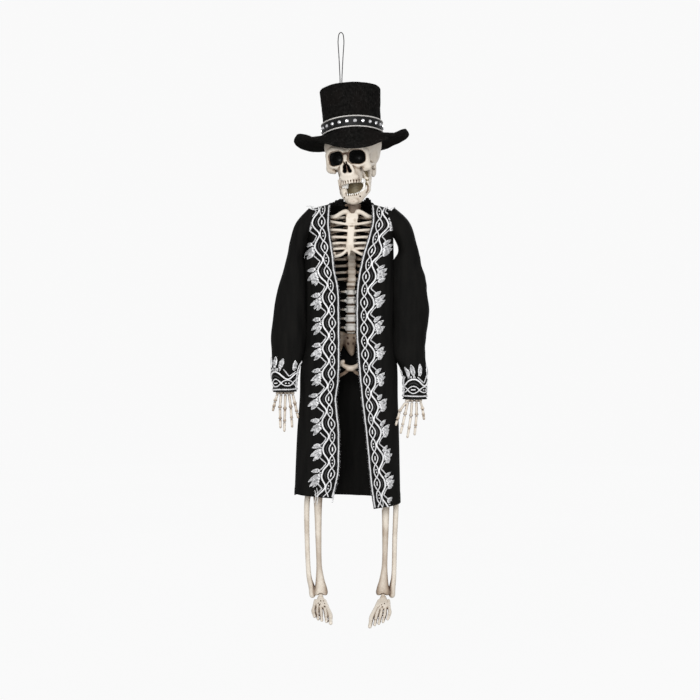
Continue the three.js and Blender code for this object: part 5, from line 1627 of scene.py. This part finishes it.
def make_jaw():
    clay = Clay((-16, -26, -51), (16, 6, -15), 0.42)
    for side in (RIGHT, LEFT):
        # The upright branch ends above in a knob behind and a point in front, with a notch between
        for height, y, deep in ((-28.6, -3.0, 3.8), (-32, -3.6, 4.1), (-35.5, -4.8, 4.0)):
            x = side * lerp(11.8, 11.1, (-28.6 - height) / 7)
            clay.add(brick((x, y, height), (1.25, deep + 0.6, 2.8), 1.1, turned(x=10, y=side * 3)), 1.2)
        bone(clay, [(12.4, 1.0, -18.0, 1.9), (12.2, 0.8, -21.5, 1.4), (11.8, -0.2, -27, 1.7)],
             blend=1.0, side=side)
        bone(clay, [(9.2, -8, -21.8, 0.8), (9.8, -7, -25, 1.1), (10.9, -6, -29, 1.4)], blend=0.9, side=side)
        # The body: its lower edge, and the ridge that the teeth stand in
        bone(clay, [(10.6, -4.6, -36.4, 2.0), (9.0, -9.4, -39.4, 2.0), (6.5, -14, -42.6, 2.1),
                    (3.9, -18, -45.4, 2.3), (0, -20.2, -46.2, 2.6)], blend=1.6, side=side)
        bone(clay, [(10.1, -7.6, -37.0, 1.4), (8.6, -12.2, -39.2, 1.4), (6.4, -16.2, -41.9, 1.4),
                    (3.6, -19.6, -43.9, 1.5), (0, -20.8, -44.3, 1.6)], blend=1.4, side=side)
        # Marks beside the chin, and the line in front of the branch
        groove(clay, [(9.9, -8.6, -29.5, 0.3), (11.6, -8.4, -33.5, 0.5), (11.4, -9.4, -37.4, 0.5),
                      (10.2, -12.4, -40.0, 0.3)], 0.6, side=side)
        clay.cut(ball((side * 6.4, -19.0, -43.0), (0.6, 1.3, 0.6)), 0.3)
    # The wall of the jaw on the right, up towards the molars
    bone(clay, [(-9.0, -11.6, -37.2, 1.6), (-7.8, -14.4, -36.9, 1.9), (-6.4, -16.2, -37.7, 2.1),
                (-6.2, -17.0, -40.6, 1.7)], blend=1.4)
    # The chin
    clay.add(ball((0, -22.0, -46.6), (4.4, 2.0, 2.1)), 1.6)
    groove(clay, [(-2.2, -24.0, -44.2, 0.2), (0, -24.2, -45.0, 0.42), (2.2, -24.0, -44.2, 0.2)])
    clay.cut(ball((1.2, -24.4, -47.0), (0.45, 0.9, 0.5)), 0.3)
    add_lower_teeth(clay)
    bone_object("jaw_bone", clay, "jaw", place=jaw_place, paint=paint_jaw)


def make_mouth_lining():
    """The dull lining that closes the mouth behind the teeth."""
    clay = Clay((-14, -24, -50), (14, 6, -18), 1.0)
    clay.add(column([(-45, -10, 4.6, 1.0), (-42, -9.4, 6.6, 1.0), (-38, -8.6, 9.4, 1.0),
                     (-33, -7.6, 11.6, 1.0), (-19.2, -6.0, 12.4, 1.0)], 4), 0.5)
    clay.add(ball((0, -12.2, -43.2), (6.4, 6.6, 1.2)), 0.8)
    points, faces, _ = clay.skin()
    # Painted shade: the lining is lighter in its upper middle and darker towards its sides and foot.
    middle = np.exp(-((points[:, 0] - 0.6) / 2.6) ** 2) * ramp(points[:, 2], -43, -36)
    lining = make_mesh("mouth_lining", head_place(points), faces, MOUTH, colours={"middle": middle})
    piece(lining, "bone_plastic")


# The trunk

NECK_TOP_DROP, LOIN_TOP_DROP = 120.0, 206
VERTEBRA_PITCH = 6.2
LOIN_X = 8.2
LOIN_FIRST_DROP, LOIN_PITCH = 212.4, 7.4
STERNAL_RIB_DROPS = [159.6, 164.8, 170.2, 174.8, 179]
STERNAL_RIB_SAGS = [0, 2.5, 4.5, 7, 8.5]
ARCH_RIB_DROP = 180.5
# The lower ribs: the drop at the spine, the drop in front, and the share of the way round
LOWER_RIBS = [(175, ARCH_RIB_DROP + 3.6, 0.86), (180.4, ARCH_RIB_DROP + 6.5, 0.8), (185.8, 190, 0.62),
              (191.2, 196, 0.56), (196.6, 203, 0.5), (202, 212, 0.42)]
RIB_FRONT_Y, RIB_BACK_Y = -19.5, 11
RIB_HALF_WIDTH = [(148, 13), (156, 20), (168, 26), (185, 29.5), (200, 29.5), (214, 27)]


def make_rib(clay, side, back_drop, front_drop, reach, meet, sag=0.0):
    share = np.linspace(0, reach, 15)
    turn = share * math.pi
    drop = lerp(back_drop, front_drop, share ** 1.2) + sag * np.sin(turn) ** 2
    half = float(curve_at(RIB_HALF_WIDTH, lerp(back_drop, front_drop, 0.5)))
    wide = np.abs(np.sin(turn)) ** 0.85 * half + meet * share
    y = lerp(RIB_FRONT_Y, RIB_BACK_Y, (1 + np.cos(turn)) / 2)
    line = np.stack([SPINE_X + side * wide, y, -drop, np.full(15, 1.05)], -1)
    bone(clay, line, 1.4, 0.5)
    bone(clay, line + (0, 0, 0.35, -0.25), 1.4, 0.4)


def add_vertebra(clay, drop):
    """One ring of the neck or the chest, with its spur behind and its two wings."""
    lean = float(np.clip((148 - drop) / 30, 0, 1))
    x, y = SPINE_X + 2.4 * lean, SPINE_Y - 5 * lean
    neck = 1 + 0.45 * lean
    reach = 6.4 if drop > 150 else 5.8
    clay.add(brick((x, y, -drop - 2), (3.7 * neck, 3.5, 2.3), 1.4), 0.6)
    clay.add(brick((x, y, -drop - 5), (3.0 * neck, 2.9, 1.2), 0.8), 0.6)
    bone(clay, [(x, y + 2.5, -drop - 2, 1.2), (x, y + 6.0, -drop - 5.0, 0.8)], blend=0.8)
    for side in (RIGHT, LEFT):
        wing = [(2.6, y + 2, -drop - 2, 1.2), (reach, y + 3.0, -drop - 2.6, 1.0)]
        bone(clay, wing, blend=0.8, side=side, middle=x)


def add_loin_vertebra(clay, drop, half):
    """One of the five larger rings, waisted between two round rims."""
    clay.add(brick((LOIN_X, SPINE_Y - 0.3, -drop), (half - 0.9, 3.3, 3.0), 1.1), 0.5)
    for shift in (-2.1, 2.1):
        clay.add(ball((LOIN_X, SPINE_Y - 0.4, -drop + shift), (half + 0.8, 4.9, 1.35)), 1.0)
    bone(clay, [(LOIN_X, SPINE_Y + 3, -drop, 1.4), (LOIN_X, SPINE_Y + 6.2, -drop - 1.5, 1.1)], blend=0.8)
    clay.add(brick((LOIN_X, SPINE_Y - 0.2, -drop - 3.7), (half - 0.9, 3.1, 1.4), 0.5), 0.1)
    for side in (RIGHT, LEFT):
        wing = [(2.4, SPINE_Y + 1.4, -drop - 0.3, 1.4), (8.4, SPINE_Y + 1.6, -drop - 0.2, 0.7)]
        bone(clay, wing, blend=0.6, side=side, middle=LOIN_X)


def add_spine(clay):
    drop = NECK_TOP_DROP
    while drop < LOIN_TOP_DROP:
        add_vertebra(clay, drop)
        drop += VERTEBRA_PITCH
    # The front of the neck's root, and the passage to the loins
    clay.add(column([(-151, 3.4, 4.6, 4.0, 10.4), (-146, 3.0, 5.0, 4.2, 10.9),
                     (-141, 2.4, 5.2, 4.4, 11.4)]), 0.6)
    clay.add(brick((8.4, SPINE_Y - 0.4, -208.2), (3.2, 3.2, 1.8), 0.8), 0.3)
    clay.add(brick((8.3, SPINE_Y - 0.4, -206.8), (3.7, 3.8, 1.6), 1.2), 0.8)
    for i in range(5):
        add_loin_vertebra(clay, LOIN_FIRST_DROP + i * LOIN_PITCH, 3.2 + i * 0.26)


def add_breastbone(clay):
    """A broad top with a notch, a long blade and a point."""
    clay.add(brick((9.2, -16.6, -151.4), (4.9, 1.5, 3.6), 1.0, turned(x=-16)), 1.0)
    clay.add(brick((8.8, -17.9, -156.2), (4.7, 1.5, 3.0), 1.0, turned(x=-14)), 1.2)
    clay.cut(ball((9.3, -15.5, -147.2), (2.6, 4, 3.3)), 0.8)
    clay.cut(ball((6.2, -19.6, -153.6), (1.3, 1.0, 1.0)), 0.6)
    clay.cut(ball((11.4, -19.6, -155.6), (1.0, 1.0, 1.2)), 0.6)
    clay.add(brick((7.9, -19.6, -168.5), (2.9, 1.2, 9.6), 1.1, turned(y=4.5)), 1.0)
    clay.add(brick((7.3, -19.9, -176.5), (3.2, 1.3, 2.6), 1.1), 1.0)
    bone(clay, [(7.0, -20.0, -178.5, 1.5), (6.4, -20.0, -184.2, 0.75)], blend=1.0)
    clay.cut(ball((8.6, -20.8, -160.6), (3.0, 1.2, 0.35)), 0.3)


def add_shoulder(clay, side):
    # The collarbone bends down as it runs out from the breastbone
    bone(clay, [(4.6, -17.0, -148.9, 2.0), (7.4, -16.4, -149.4, 1.6), (10.6, -15.2, -151.2, 1.6),
                (14, -13.0, -153.2, 1.95), (18.4, -6, -152.6, 1.9), (23, 1, -150.4, 2.1)],
         blend=0.8, side=side, middle=SPINE_X)
    # The shoulder blade, its outer edge and its ridge
    clay.add(ball((SPINE_X + side * 20, 9, -157), (5.4, 1.1, 6), turned(z=side * 30)), 1.0)
    edge_turn = turned(y=side * 14, z=side * 12)
    clay.add(ball((SPINE_X + side * 16.6, 12.2, -167), (4.2, 1.0, 9.5), edge_turn), 1.0)
    bone(clay, [(23, 1, -150.4, 2.3), (22, 6, -153, 1.5), (15, 11.6, -157.6, 1.2)],
         blend=0.8, side=side, middle=SPINE_X)


def paint_trunk(points):
    """Painted shade in the neck, painted shade and a brown wash towards the back, painted light that makes
    the loins lighter, and a dark line of painted shade at each joint there.
    """
    drop = -points[:, 2]
    # Painted shade in the neck, and painted shade with a brown wash towards the back of the chest.
    neck = 0.29 * (1 - ramp(drop, 150, 156)) * ramp(points[:, 1], -9, -2) * (np.abs(points[:, 0] - 11) < 8)
    behind = 0.12 * ramp(points[:, 1], -9, 2) * (1 - ramp(drop, 203, 209))
    # A dark line of painted shade at each joint between the rings of the loins.
    to_joint = np.abs((drop - LOIN_FIRST_DROP + 3.7) % LOIN_PITCH)
    to_joint = np.minimum(to_joint, LOIN_PITCH - to_joint)
    central = np.abs(points[:, 0] - LOIN_X) < 5.5
    joints = (1 - ramp(to_joint, 0.25, 1.0)) * (drop > 207.5) * central
    # Painted light: the loins are painted lighter than the shade inside the coat lets them be.
    painted_loin_light = -0.34 * ramp(drop, 210, 212) * central
    return lerp(np.maximum(neck, behind) + painted_loin_light, 0.3, joints)


def make_trunk():
    clay = Clay((-23.5, -23.5, -249), (41.5, 17.5, -113), 0.7)
    add_spine(clay)
    add_breastbone(clay)
    for i, (front, sag) in enumerate(zip(STERNAL_RIB_DROPS, STERNAL_RIB_SAGS)):
        for side in (RIGHT, LEFT):
            make_rib(clay, side, 151 + i * 5.2, front, 1, 1.4, sag)
    for side in (RIGHT, LEFT):
        for back, front, reach in LOWER_RIBS:
            make_rib(clay, side, back, front, reach, 0)
        bone(clay, [(7.4 + side * 1.6, -19.8, -(ARCH_RIB_DROP - 1), 1.2),
                    (SPINE_X + side * 9, -19.4, -(ARCH_RIB_DROP + 3.4), 1.25),
                    (SPINE_X + side * 16, -16.6, -(ARCH_RIB_DROP + 5), 1.2)], blend=0.6)
        add_shoulder(clay, side)
    nodes = ["spine", "breastbone", "rib_cage_right", "rib_cage_left"]
    bone_object("trunk_bone", clay, *nodes, paint=paint_trunk)


def paint_pelvis(points):
    # Painted shade over the whole pelvis, deeper on the sacrum that lies back inside it and on the lower
    # arch.
    middle = np.abs(points[:, 0] - PELVIS_X)
    sacrum = 0.25 * (1 - ramp(middle, 5.5, 8.5)) * ramp(points[:, 1], -2, 4)
    return np.maximum(sacrum, 0.12 + 0.2 * ramp(-points[:, 2], 276.8, 278.6))


def make_pelvis():
    clay = Clay((-20, -16, -288), (36, 18, -243), 0.68)
    # The sacrum, with its holes
    clay.add(ball((PELVIS_X, SPINE_Y + 1.5, -251.5), (7.0, 4.0, 5.4)), 0.8)
    bone(clay, [(-1.0, SPINE_Y + 1.6, -252.4, 5.6), (-0.4, SPINE_Y + 2.8, -257.6, 4.2),
                (0.6, SPINE_Y + 2.2, -261.6, 2.5), (1.0, SPINE_Y + 1.6, -264.8, 0.9)],
         blend=1.4, middle=PELVIS_X)
    for row, spread in ((-251, 4.2), (-255.6, 3.4), (-259.6, 2.4)):
        for side in (RIGHT, LEFT):
            clay.cut(ball((PELVIS_X + side * spread * 0.62, SPINE_Y - 2.6, row), (0.6, 1.6, 0.8)), 0.4)
    for side in (RIGHT, LEFT):
        def x(offset):
            return PELVIS_X + side * offset

        # The hip blade's crest and its plate
        bone(clay, [(5, 9.5, -248.4, 1.8), (12, 7.4, -246.6, 1.7), (19, 2.6, -248.2, 1.8),
                    (24, -4, -254.6, 1.9)], blend=1.0, side=side, middle=PELVIS_X)
        clay.add(ball((x(14.5), 4.4, -256), (10.4, 1.5, 9.6), turned(z=-side * 36, y=side * 10)), 1.6)
        clay.add(ball((x(8.4), 9.6, -252), (4.2, 2.4, 5.4)), 1.4)
        # Down past the hip joint to the seat, forward to the front, and the lower arch
        bone(clay, [(18, 1.4, -258, 3.4), (18.4, 0.4, -266, 4.2), (17.6, 0.2, -272, 3.9),
                    (15, 0, -279, 2.3), (10, -4, -282, 1.5)], blend=1.4, side=side, middle=PELVIS_X)
        bone(clay, [(16, -2, -268.5, 2.2), (9, -8.5, -271.5, 1.5), (3.6, -10.3, -274.6, 1.6),
                    (0, -10.6, -275.6, 1.7)], blend=1.0, side=side, middle=PELVIS_X)
        bone(clay, [(1.2, -10, -276.2, 1.3), (5, -7.4, -279.6, 1.25), (10, -4, -282, 1.5)],
             blend=0.8, side=side, middle=PELVIS_X)
        clay.cut(ball((x(21.4), -0.4, -270.6), (2.4, 3.0, 3.0)), 0.8)
    clay.add(brick((PELVIS_X - 0.4, -10.4, -276.0), (3.0, 1.6, 1.9), 1.0), 1.4)
    clay.add(brick((1.4, -9.4, -270.4), (1.9, 1.2, 1.5), 0.6, turned(y=-24)), 0.6)
    bone_object("pelvis_bone", clay, "pelvis", paint=paint_pelvis)


# The limbs, which hang from joints given as (x, drop)

ARMS = {
    "right": ((-18, 153), (-31, 163), (-41.5, 227), (-45, 291), -6),
    "left": ((35, 153), (49, 163), (57.6, 229), (59.3, 297), -13),
}
LEGS = {"right": (-18.8, -16.5, (-27.8, -27.8, -23.4)), "left": (36.6, 34.4, (45, 44.1, 41.8))}
ANKLE_DROP = 461.6
# A finger's x at its knuckle, its middle and its tip, and the drop of its tip
FINGERS = {
    "right": [(-51.6, -53.6, -55.4, 310.5), (-48.8, -49.8, -49.4, 324.5), (-45.4, -45.7, -46.2, 327.3),
              (-42.6, -41, -39.8, 323.8), (-39.6, -37.6, -35, 316.3)],
    "left": [(54, 48, 44.8, 322), (54.9, 52.2, 48.6, 328.6), (58, 57, 54.1, 332),
             (61.6, 61.5, 59.9, 329.8), (64.6, 66.3, 67.5, 317.3)],
}
TOES = {
    "right": [(-8, 479), (-11.3, 478), (-15.1, 477.2), (-18.1, 476.4), (-21, 474.6)],
    "left": [(23.2, 481.8), (27.1, 480.6), (30.4, 479.8), (33.8, 478.6), (37.6, 476.6)],
}
TOE_FRONT_Y = -37
# The shin bone's section: its drop, half width, half depth, and the share of the way from knee to ankle
SHIN_SECTIONS = [
    (373, 4.6, 3.6, 0), (388, 3.3, 2.9, 0), (415, 2.5, 2.4, 0.15), (437, 2.3, 2.4, 0.4),
    (449, 3.6, 2.8, 0.75), (455, 4.9, 3.2, 1), (458.6, 5.7, 3.4, 1), (460.2, 5.6, 3.3, 1),
    (ANKLE_DROP, 4.9, 2.8, 1),
]


def limb_clay(node, cell, margin=3.0):
    """An empty field as large as a limb's solid and a margin round it."""
    low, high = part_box(node)
    return Clay(np.array(low) / MM - margin, np.array(high) / MM + margin, cell)


def make_arm(name):
    shoulder, bend, elbow, wrist, finger_y = ARMS[name]
    elbow_x, elbow_drop = elbow
    clay = limb_clay("upper_arm_" + name, 0.9)
    bone(clay, [(shoulder[0], 0.5, -shoulder[1] - 2.6, 2.6), (bend[0], 0, -bend[1] - 3, 1.9),
                (lerp(bend[0], elbow_x, 0.55), 0, -195, 1.8), (elbow_x, -1, -elbow_drop + 4, 2.6)], blend=1.0)
    bone_object("upper_arm_bone_" + name, clay, "upper_arm_" + name)

    # Two thin bones side by side, furthest apart halfway down
    clay = limb_clay("forearm_" + name, 0.9)
    line = [(elbow_x, -1, -elbow_drop + 1.6, 2.2, 0.4), (lerp(elbow_x, wrist[0], 0.4), -2, -255, 1.5, 1.0),
            (wrist[0], -4, -wrist[1] + 4, 1.9, 0.4)]
    for shift in (-1.8, 1.8):
        bone(clay, [(x + shift * apart, y, z, radius) for x, y, z, radius, apart in line], blend=1.0)
    bone_object("forearm_bone_" + name, clay, "forearm_" + name)
    make_hand(name, wrist, finger_y)


def make_hand(name, wrist, finger_y):
    clay = limb_clay("hand_" + name, 0.44, margin=2.0)
    dark_spots = []
    knuckle = wrist[1] + 5
    clay.add(brick((wrist[0], -4, -(wrist[1] - 1.5)), (4.4, 1.9, 2.6), 1.2), 0.8)
    clay.add(brick((wrist[0], -4, -(wrist[1] + 2)), (5.6, 1.4, 2.0), 1.0), 0.8)
    for knuckle_x, middle_x, tip_x, tip_drop in FINGERS[name]:
        middle = lerp(knuckle, tip_drop, 0.4)
        last = lerp(knuckle, tip_drop, 0.72)
        y = [lerp(-4, finger_y, share) for share in (0.3, 0.85, 1.0, 0.9)]
        bone(clay, [(lerp(wrist[0], knuckle_x, 0.75), -4, -(knuckle - 4), 1.1),
                    (knuckle_x, y[0], -knuckle, 1.0)], blend=0.5)
        joints = [(knuckle_x, y[0], -knuckle), (middle_x, y[1], -middle),
                  (lerp(middle_x, tip_x, 0.55), y[2], -last), (tip_x, y[3], -tip_drop + 0.6)]
        for one, two in zip(joints[:-1], joints[1:]):
            clay.add(rod(one, two, 1.15, 1.0), 0.3)
        # Each joint is a knob with a slit across its lower half
        for (x, y, z), radius in zip(joints, (1.75, 1.6, 1.4)):
            clay.add(ball((x, y, z), (radius, radius, radius * 0.9)), 0.35)
            clay.cut(brick((x, y, z - radius * 0.75), (2, 2, 0.16), 0.05), 0.3)
            dark_spots.append((x, y, z - radius * 0.4))
        dark_spots.append((tip_x, joints[-1][1], -tip_drop - 0.2))

    # Painted shade round each joint's slit, and darker at each fingertip.
    def paint(points):
        near = np.min([np.linalg.norm(points - spot, axis=1) for spot in dark_spots], axis=0)
        return 0.17 * (1 - ramp(near, 1.3, 2.6))

    bone_object("hand_bone_" + name, clay, "hand_" + name, paint=paint)


def paint_shin(points):
    return 0.05 + 0.05 * waves(points[:, 0] * 3, points[:, 2], seed=4, longest=60)


def make_leg(name):
    side = SIDES[name]
    knee, ankle, fibula = LEGS[name]
    hip_x = PELVIS_X + side * 23.2
    clay = limb_clay("thigh_" + name, 0.95)
    bone(clay, [(hip_x - side * 1.2, 0, -270, 2.7), (hip_x + side * 1.4, 0, -276, 2.5),
                (lerp(hip_x, knee, 0.3), -0.6, -300, 2.2), (lerp(hip_x, knee, 0.7), -0.8, -335, 2.2),
                (knee, -1, -354, 3.3)], blend=1.0)
    for shift in (-2.2, 2.2):
        clay.add(ball((knee + shift, -1, -360.6), (3.0, 4.4, 4.6)), 1.2)
    bone_object("thigh_bone_" + name, clay, "thigh_" + name)

    clay = limb_clay("shin_" + name, 0.64)
    for shift in (-2.0, 2.0):
        clay.add(ball((knee + shift, -1, -370.4), (3.2, 4.2, 4.0)), 1.4)
    clay.add(column([(-drop, -1, wide, deep, lerp(knee, ankle, share))
                     for drop, wide, deep, share in SHIN_SECTIONS]), 1.0)
    upper, middle, lower = fibula
    bone(clay, [(lerp(upper, knee, 0.35), 0, -374, 2.2), (upper, 0, -385, 2.2), (middle, 0, -415, 1.95),
                (lerp(middle, lower, 0.3), 0, -444, 1.9), (lerp(middle, lower, 0.85), 0, -455, 2.35),
                (lower, 0, -ANKLE_DROP - 0.2, 2.35)], blend=0.6)
    # The arch over the ankle bone's neck
    clay.cut(ball((ankle, -4.4, -ANKLE_DROP), (2.5, 3.8, 1.7)), 0.6)
    if name == "left":
        crack = [(knee - 3, -3.2, -417), (knee - 0.6, -4.0, -419.4), (knee + 1.4, -3.8, -421.6)]
        crack = even_line(crack, 0.6)
        for a, b in zip(crack[:-1], crack[1:]):
            clay.cut(rod(a, b, 0.3, 0.3), 0.2)
    bone_object("shin_bone_" + name, clay, "shin_" + name, paint=paint_shin)
    make_foot(name, side, ankle)


def add_toe(clay, side, ankle, number, tip_x, tip_drop):
    """A toe and the long foot bone behind it, counted from the great toe."""
    outward = number - 2
    root_x = ankle + side * (0.5 + outward * 1.9)
    ball_x = lerp(root_x, tip_x, 0.62) + side * outward * 0.7
    thick = 1.3 if number == 0 else 1.0
    front = TOE_FRONT_Y + number * 1.5

    def at(share):
        return lerp(-9, front, share), -lerp(465, tip_drop, share)

    joint_x = lerp(ball_x, tip_x, 0.58)
    bone(clay, [(root_x, *at(0), 1.4), (lerp(root_x, ball_x, 0.58), *at(0.36), 1.25 * thick),
                (ball_x, *at(0.62), 1.45 * thick), (joint_x, *at(0.84), 1.2 * thick),
                (tip_x, *at(0.97), 1.15 * thick)], step=1.0, blend=0.25)
    clay.cut(brick((joint_x, *at(0.82)), (1.8, 0.12, 2.2), 0.05), 0.4)


def make_foot(name, side, ankle):
    clay = limb_clay("foot_" + name, 0.48, margin=2.0)
    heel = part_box("foot_" + name)[1][1] / MM - 3.0
    bone(clay, [(ankle, heel, -470.6, 3.0), (ankle, heel - 6, -469.4, 3.4), (ankle, -1, -467.8, 3.4)],
         blend=1.4)
    bone(clay, [(0.3, -4.2, -462.6, 1.9), (0.5, -5.2, -465.4, 2.6)], blend=1.0, side=side, middle=ankle)
    clay.add(ball((ankle + side * 0.5, -7.6, -467.8), (5.0, 4.8, 2.7), turned(x=24)), 1.4)
    # The instep widens evenly from the neck to the toes
    instep = [(-462.0, -4.8, 1.7, 1.6, 0), (-464.4, -8.2, 3.4, 2.6, 0.3), (-466.2, -12.2, 4.4, 2.6, 0.7),
              (-468.0, -15.2, 5.2, 2.0, 1.1), (-470.6, -17.4, 5.6, 1.6, 1.5)]
    clay.add(column([(*row[:4], ankle - side * row[4]) for row in instep]), 1.0)
    for number, (tip_x, tip_drop) in enumerate(TOES[name]):
        add_toe(clay, side, ankle, number, tip_x, tip_drop)
    # Cut off flat just below the shin
    top = ANKLE_DROP + 0.35
    above = (np.array([ankle - 20, -40, -top]), np.array([ankle + 20, 30, -top + 20]),
             lambda axes: np.float32(-top) - axes[2] + 0 * (axes[0] + axes[1]))
    clay.cut(above, 0.2)
    pits = np.random.default_rng(len(name))
    for _ in range(8):
        down = pits.uniform(464.5, 469)
        x = ankle - side * (down - 462) * 0.15 + pits.uniform(-1, 1) * (down - 461) * 0.5
        clay.cut(ball((x, -10.8 - (down - 464.4) * 1.75, -down), (0.3, 1.6, 0.6)), 0.3)
    # The neck that stands up into the shin's arch
    bone(clay, [(0, -4.6, -ANKLE_DROP + 0.2, 1.6), (0.2, -4.8, -ANKLE_DROP - 3, 2.2)],
         blend=0.8, side=side, middle=ankle)
    bone_object("foot_bone_" + name, clay, "foot_" + name)


make_studio()
make_thread()
make_hat()
make_band()
make_skull()
make_jaw()
make_mouth_lining()
make_trunk()
make_pelvis()
for side_name in SIDES:
    make_arm(side_name)
    make_leg(side_name)
make_coat()
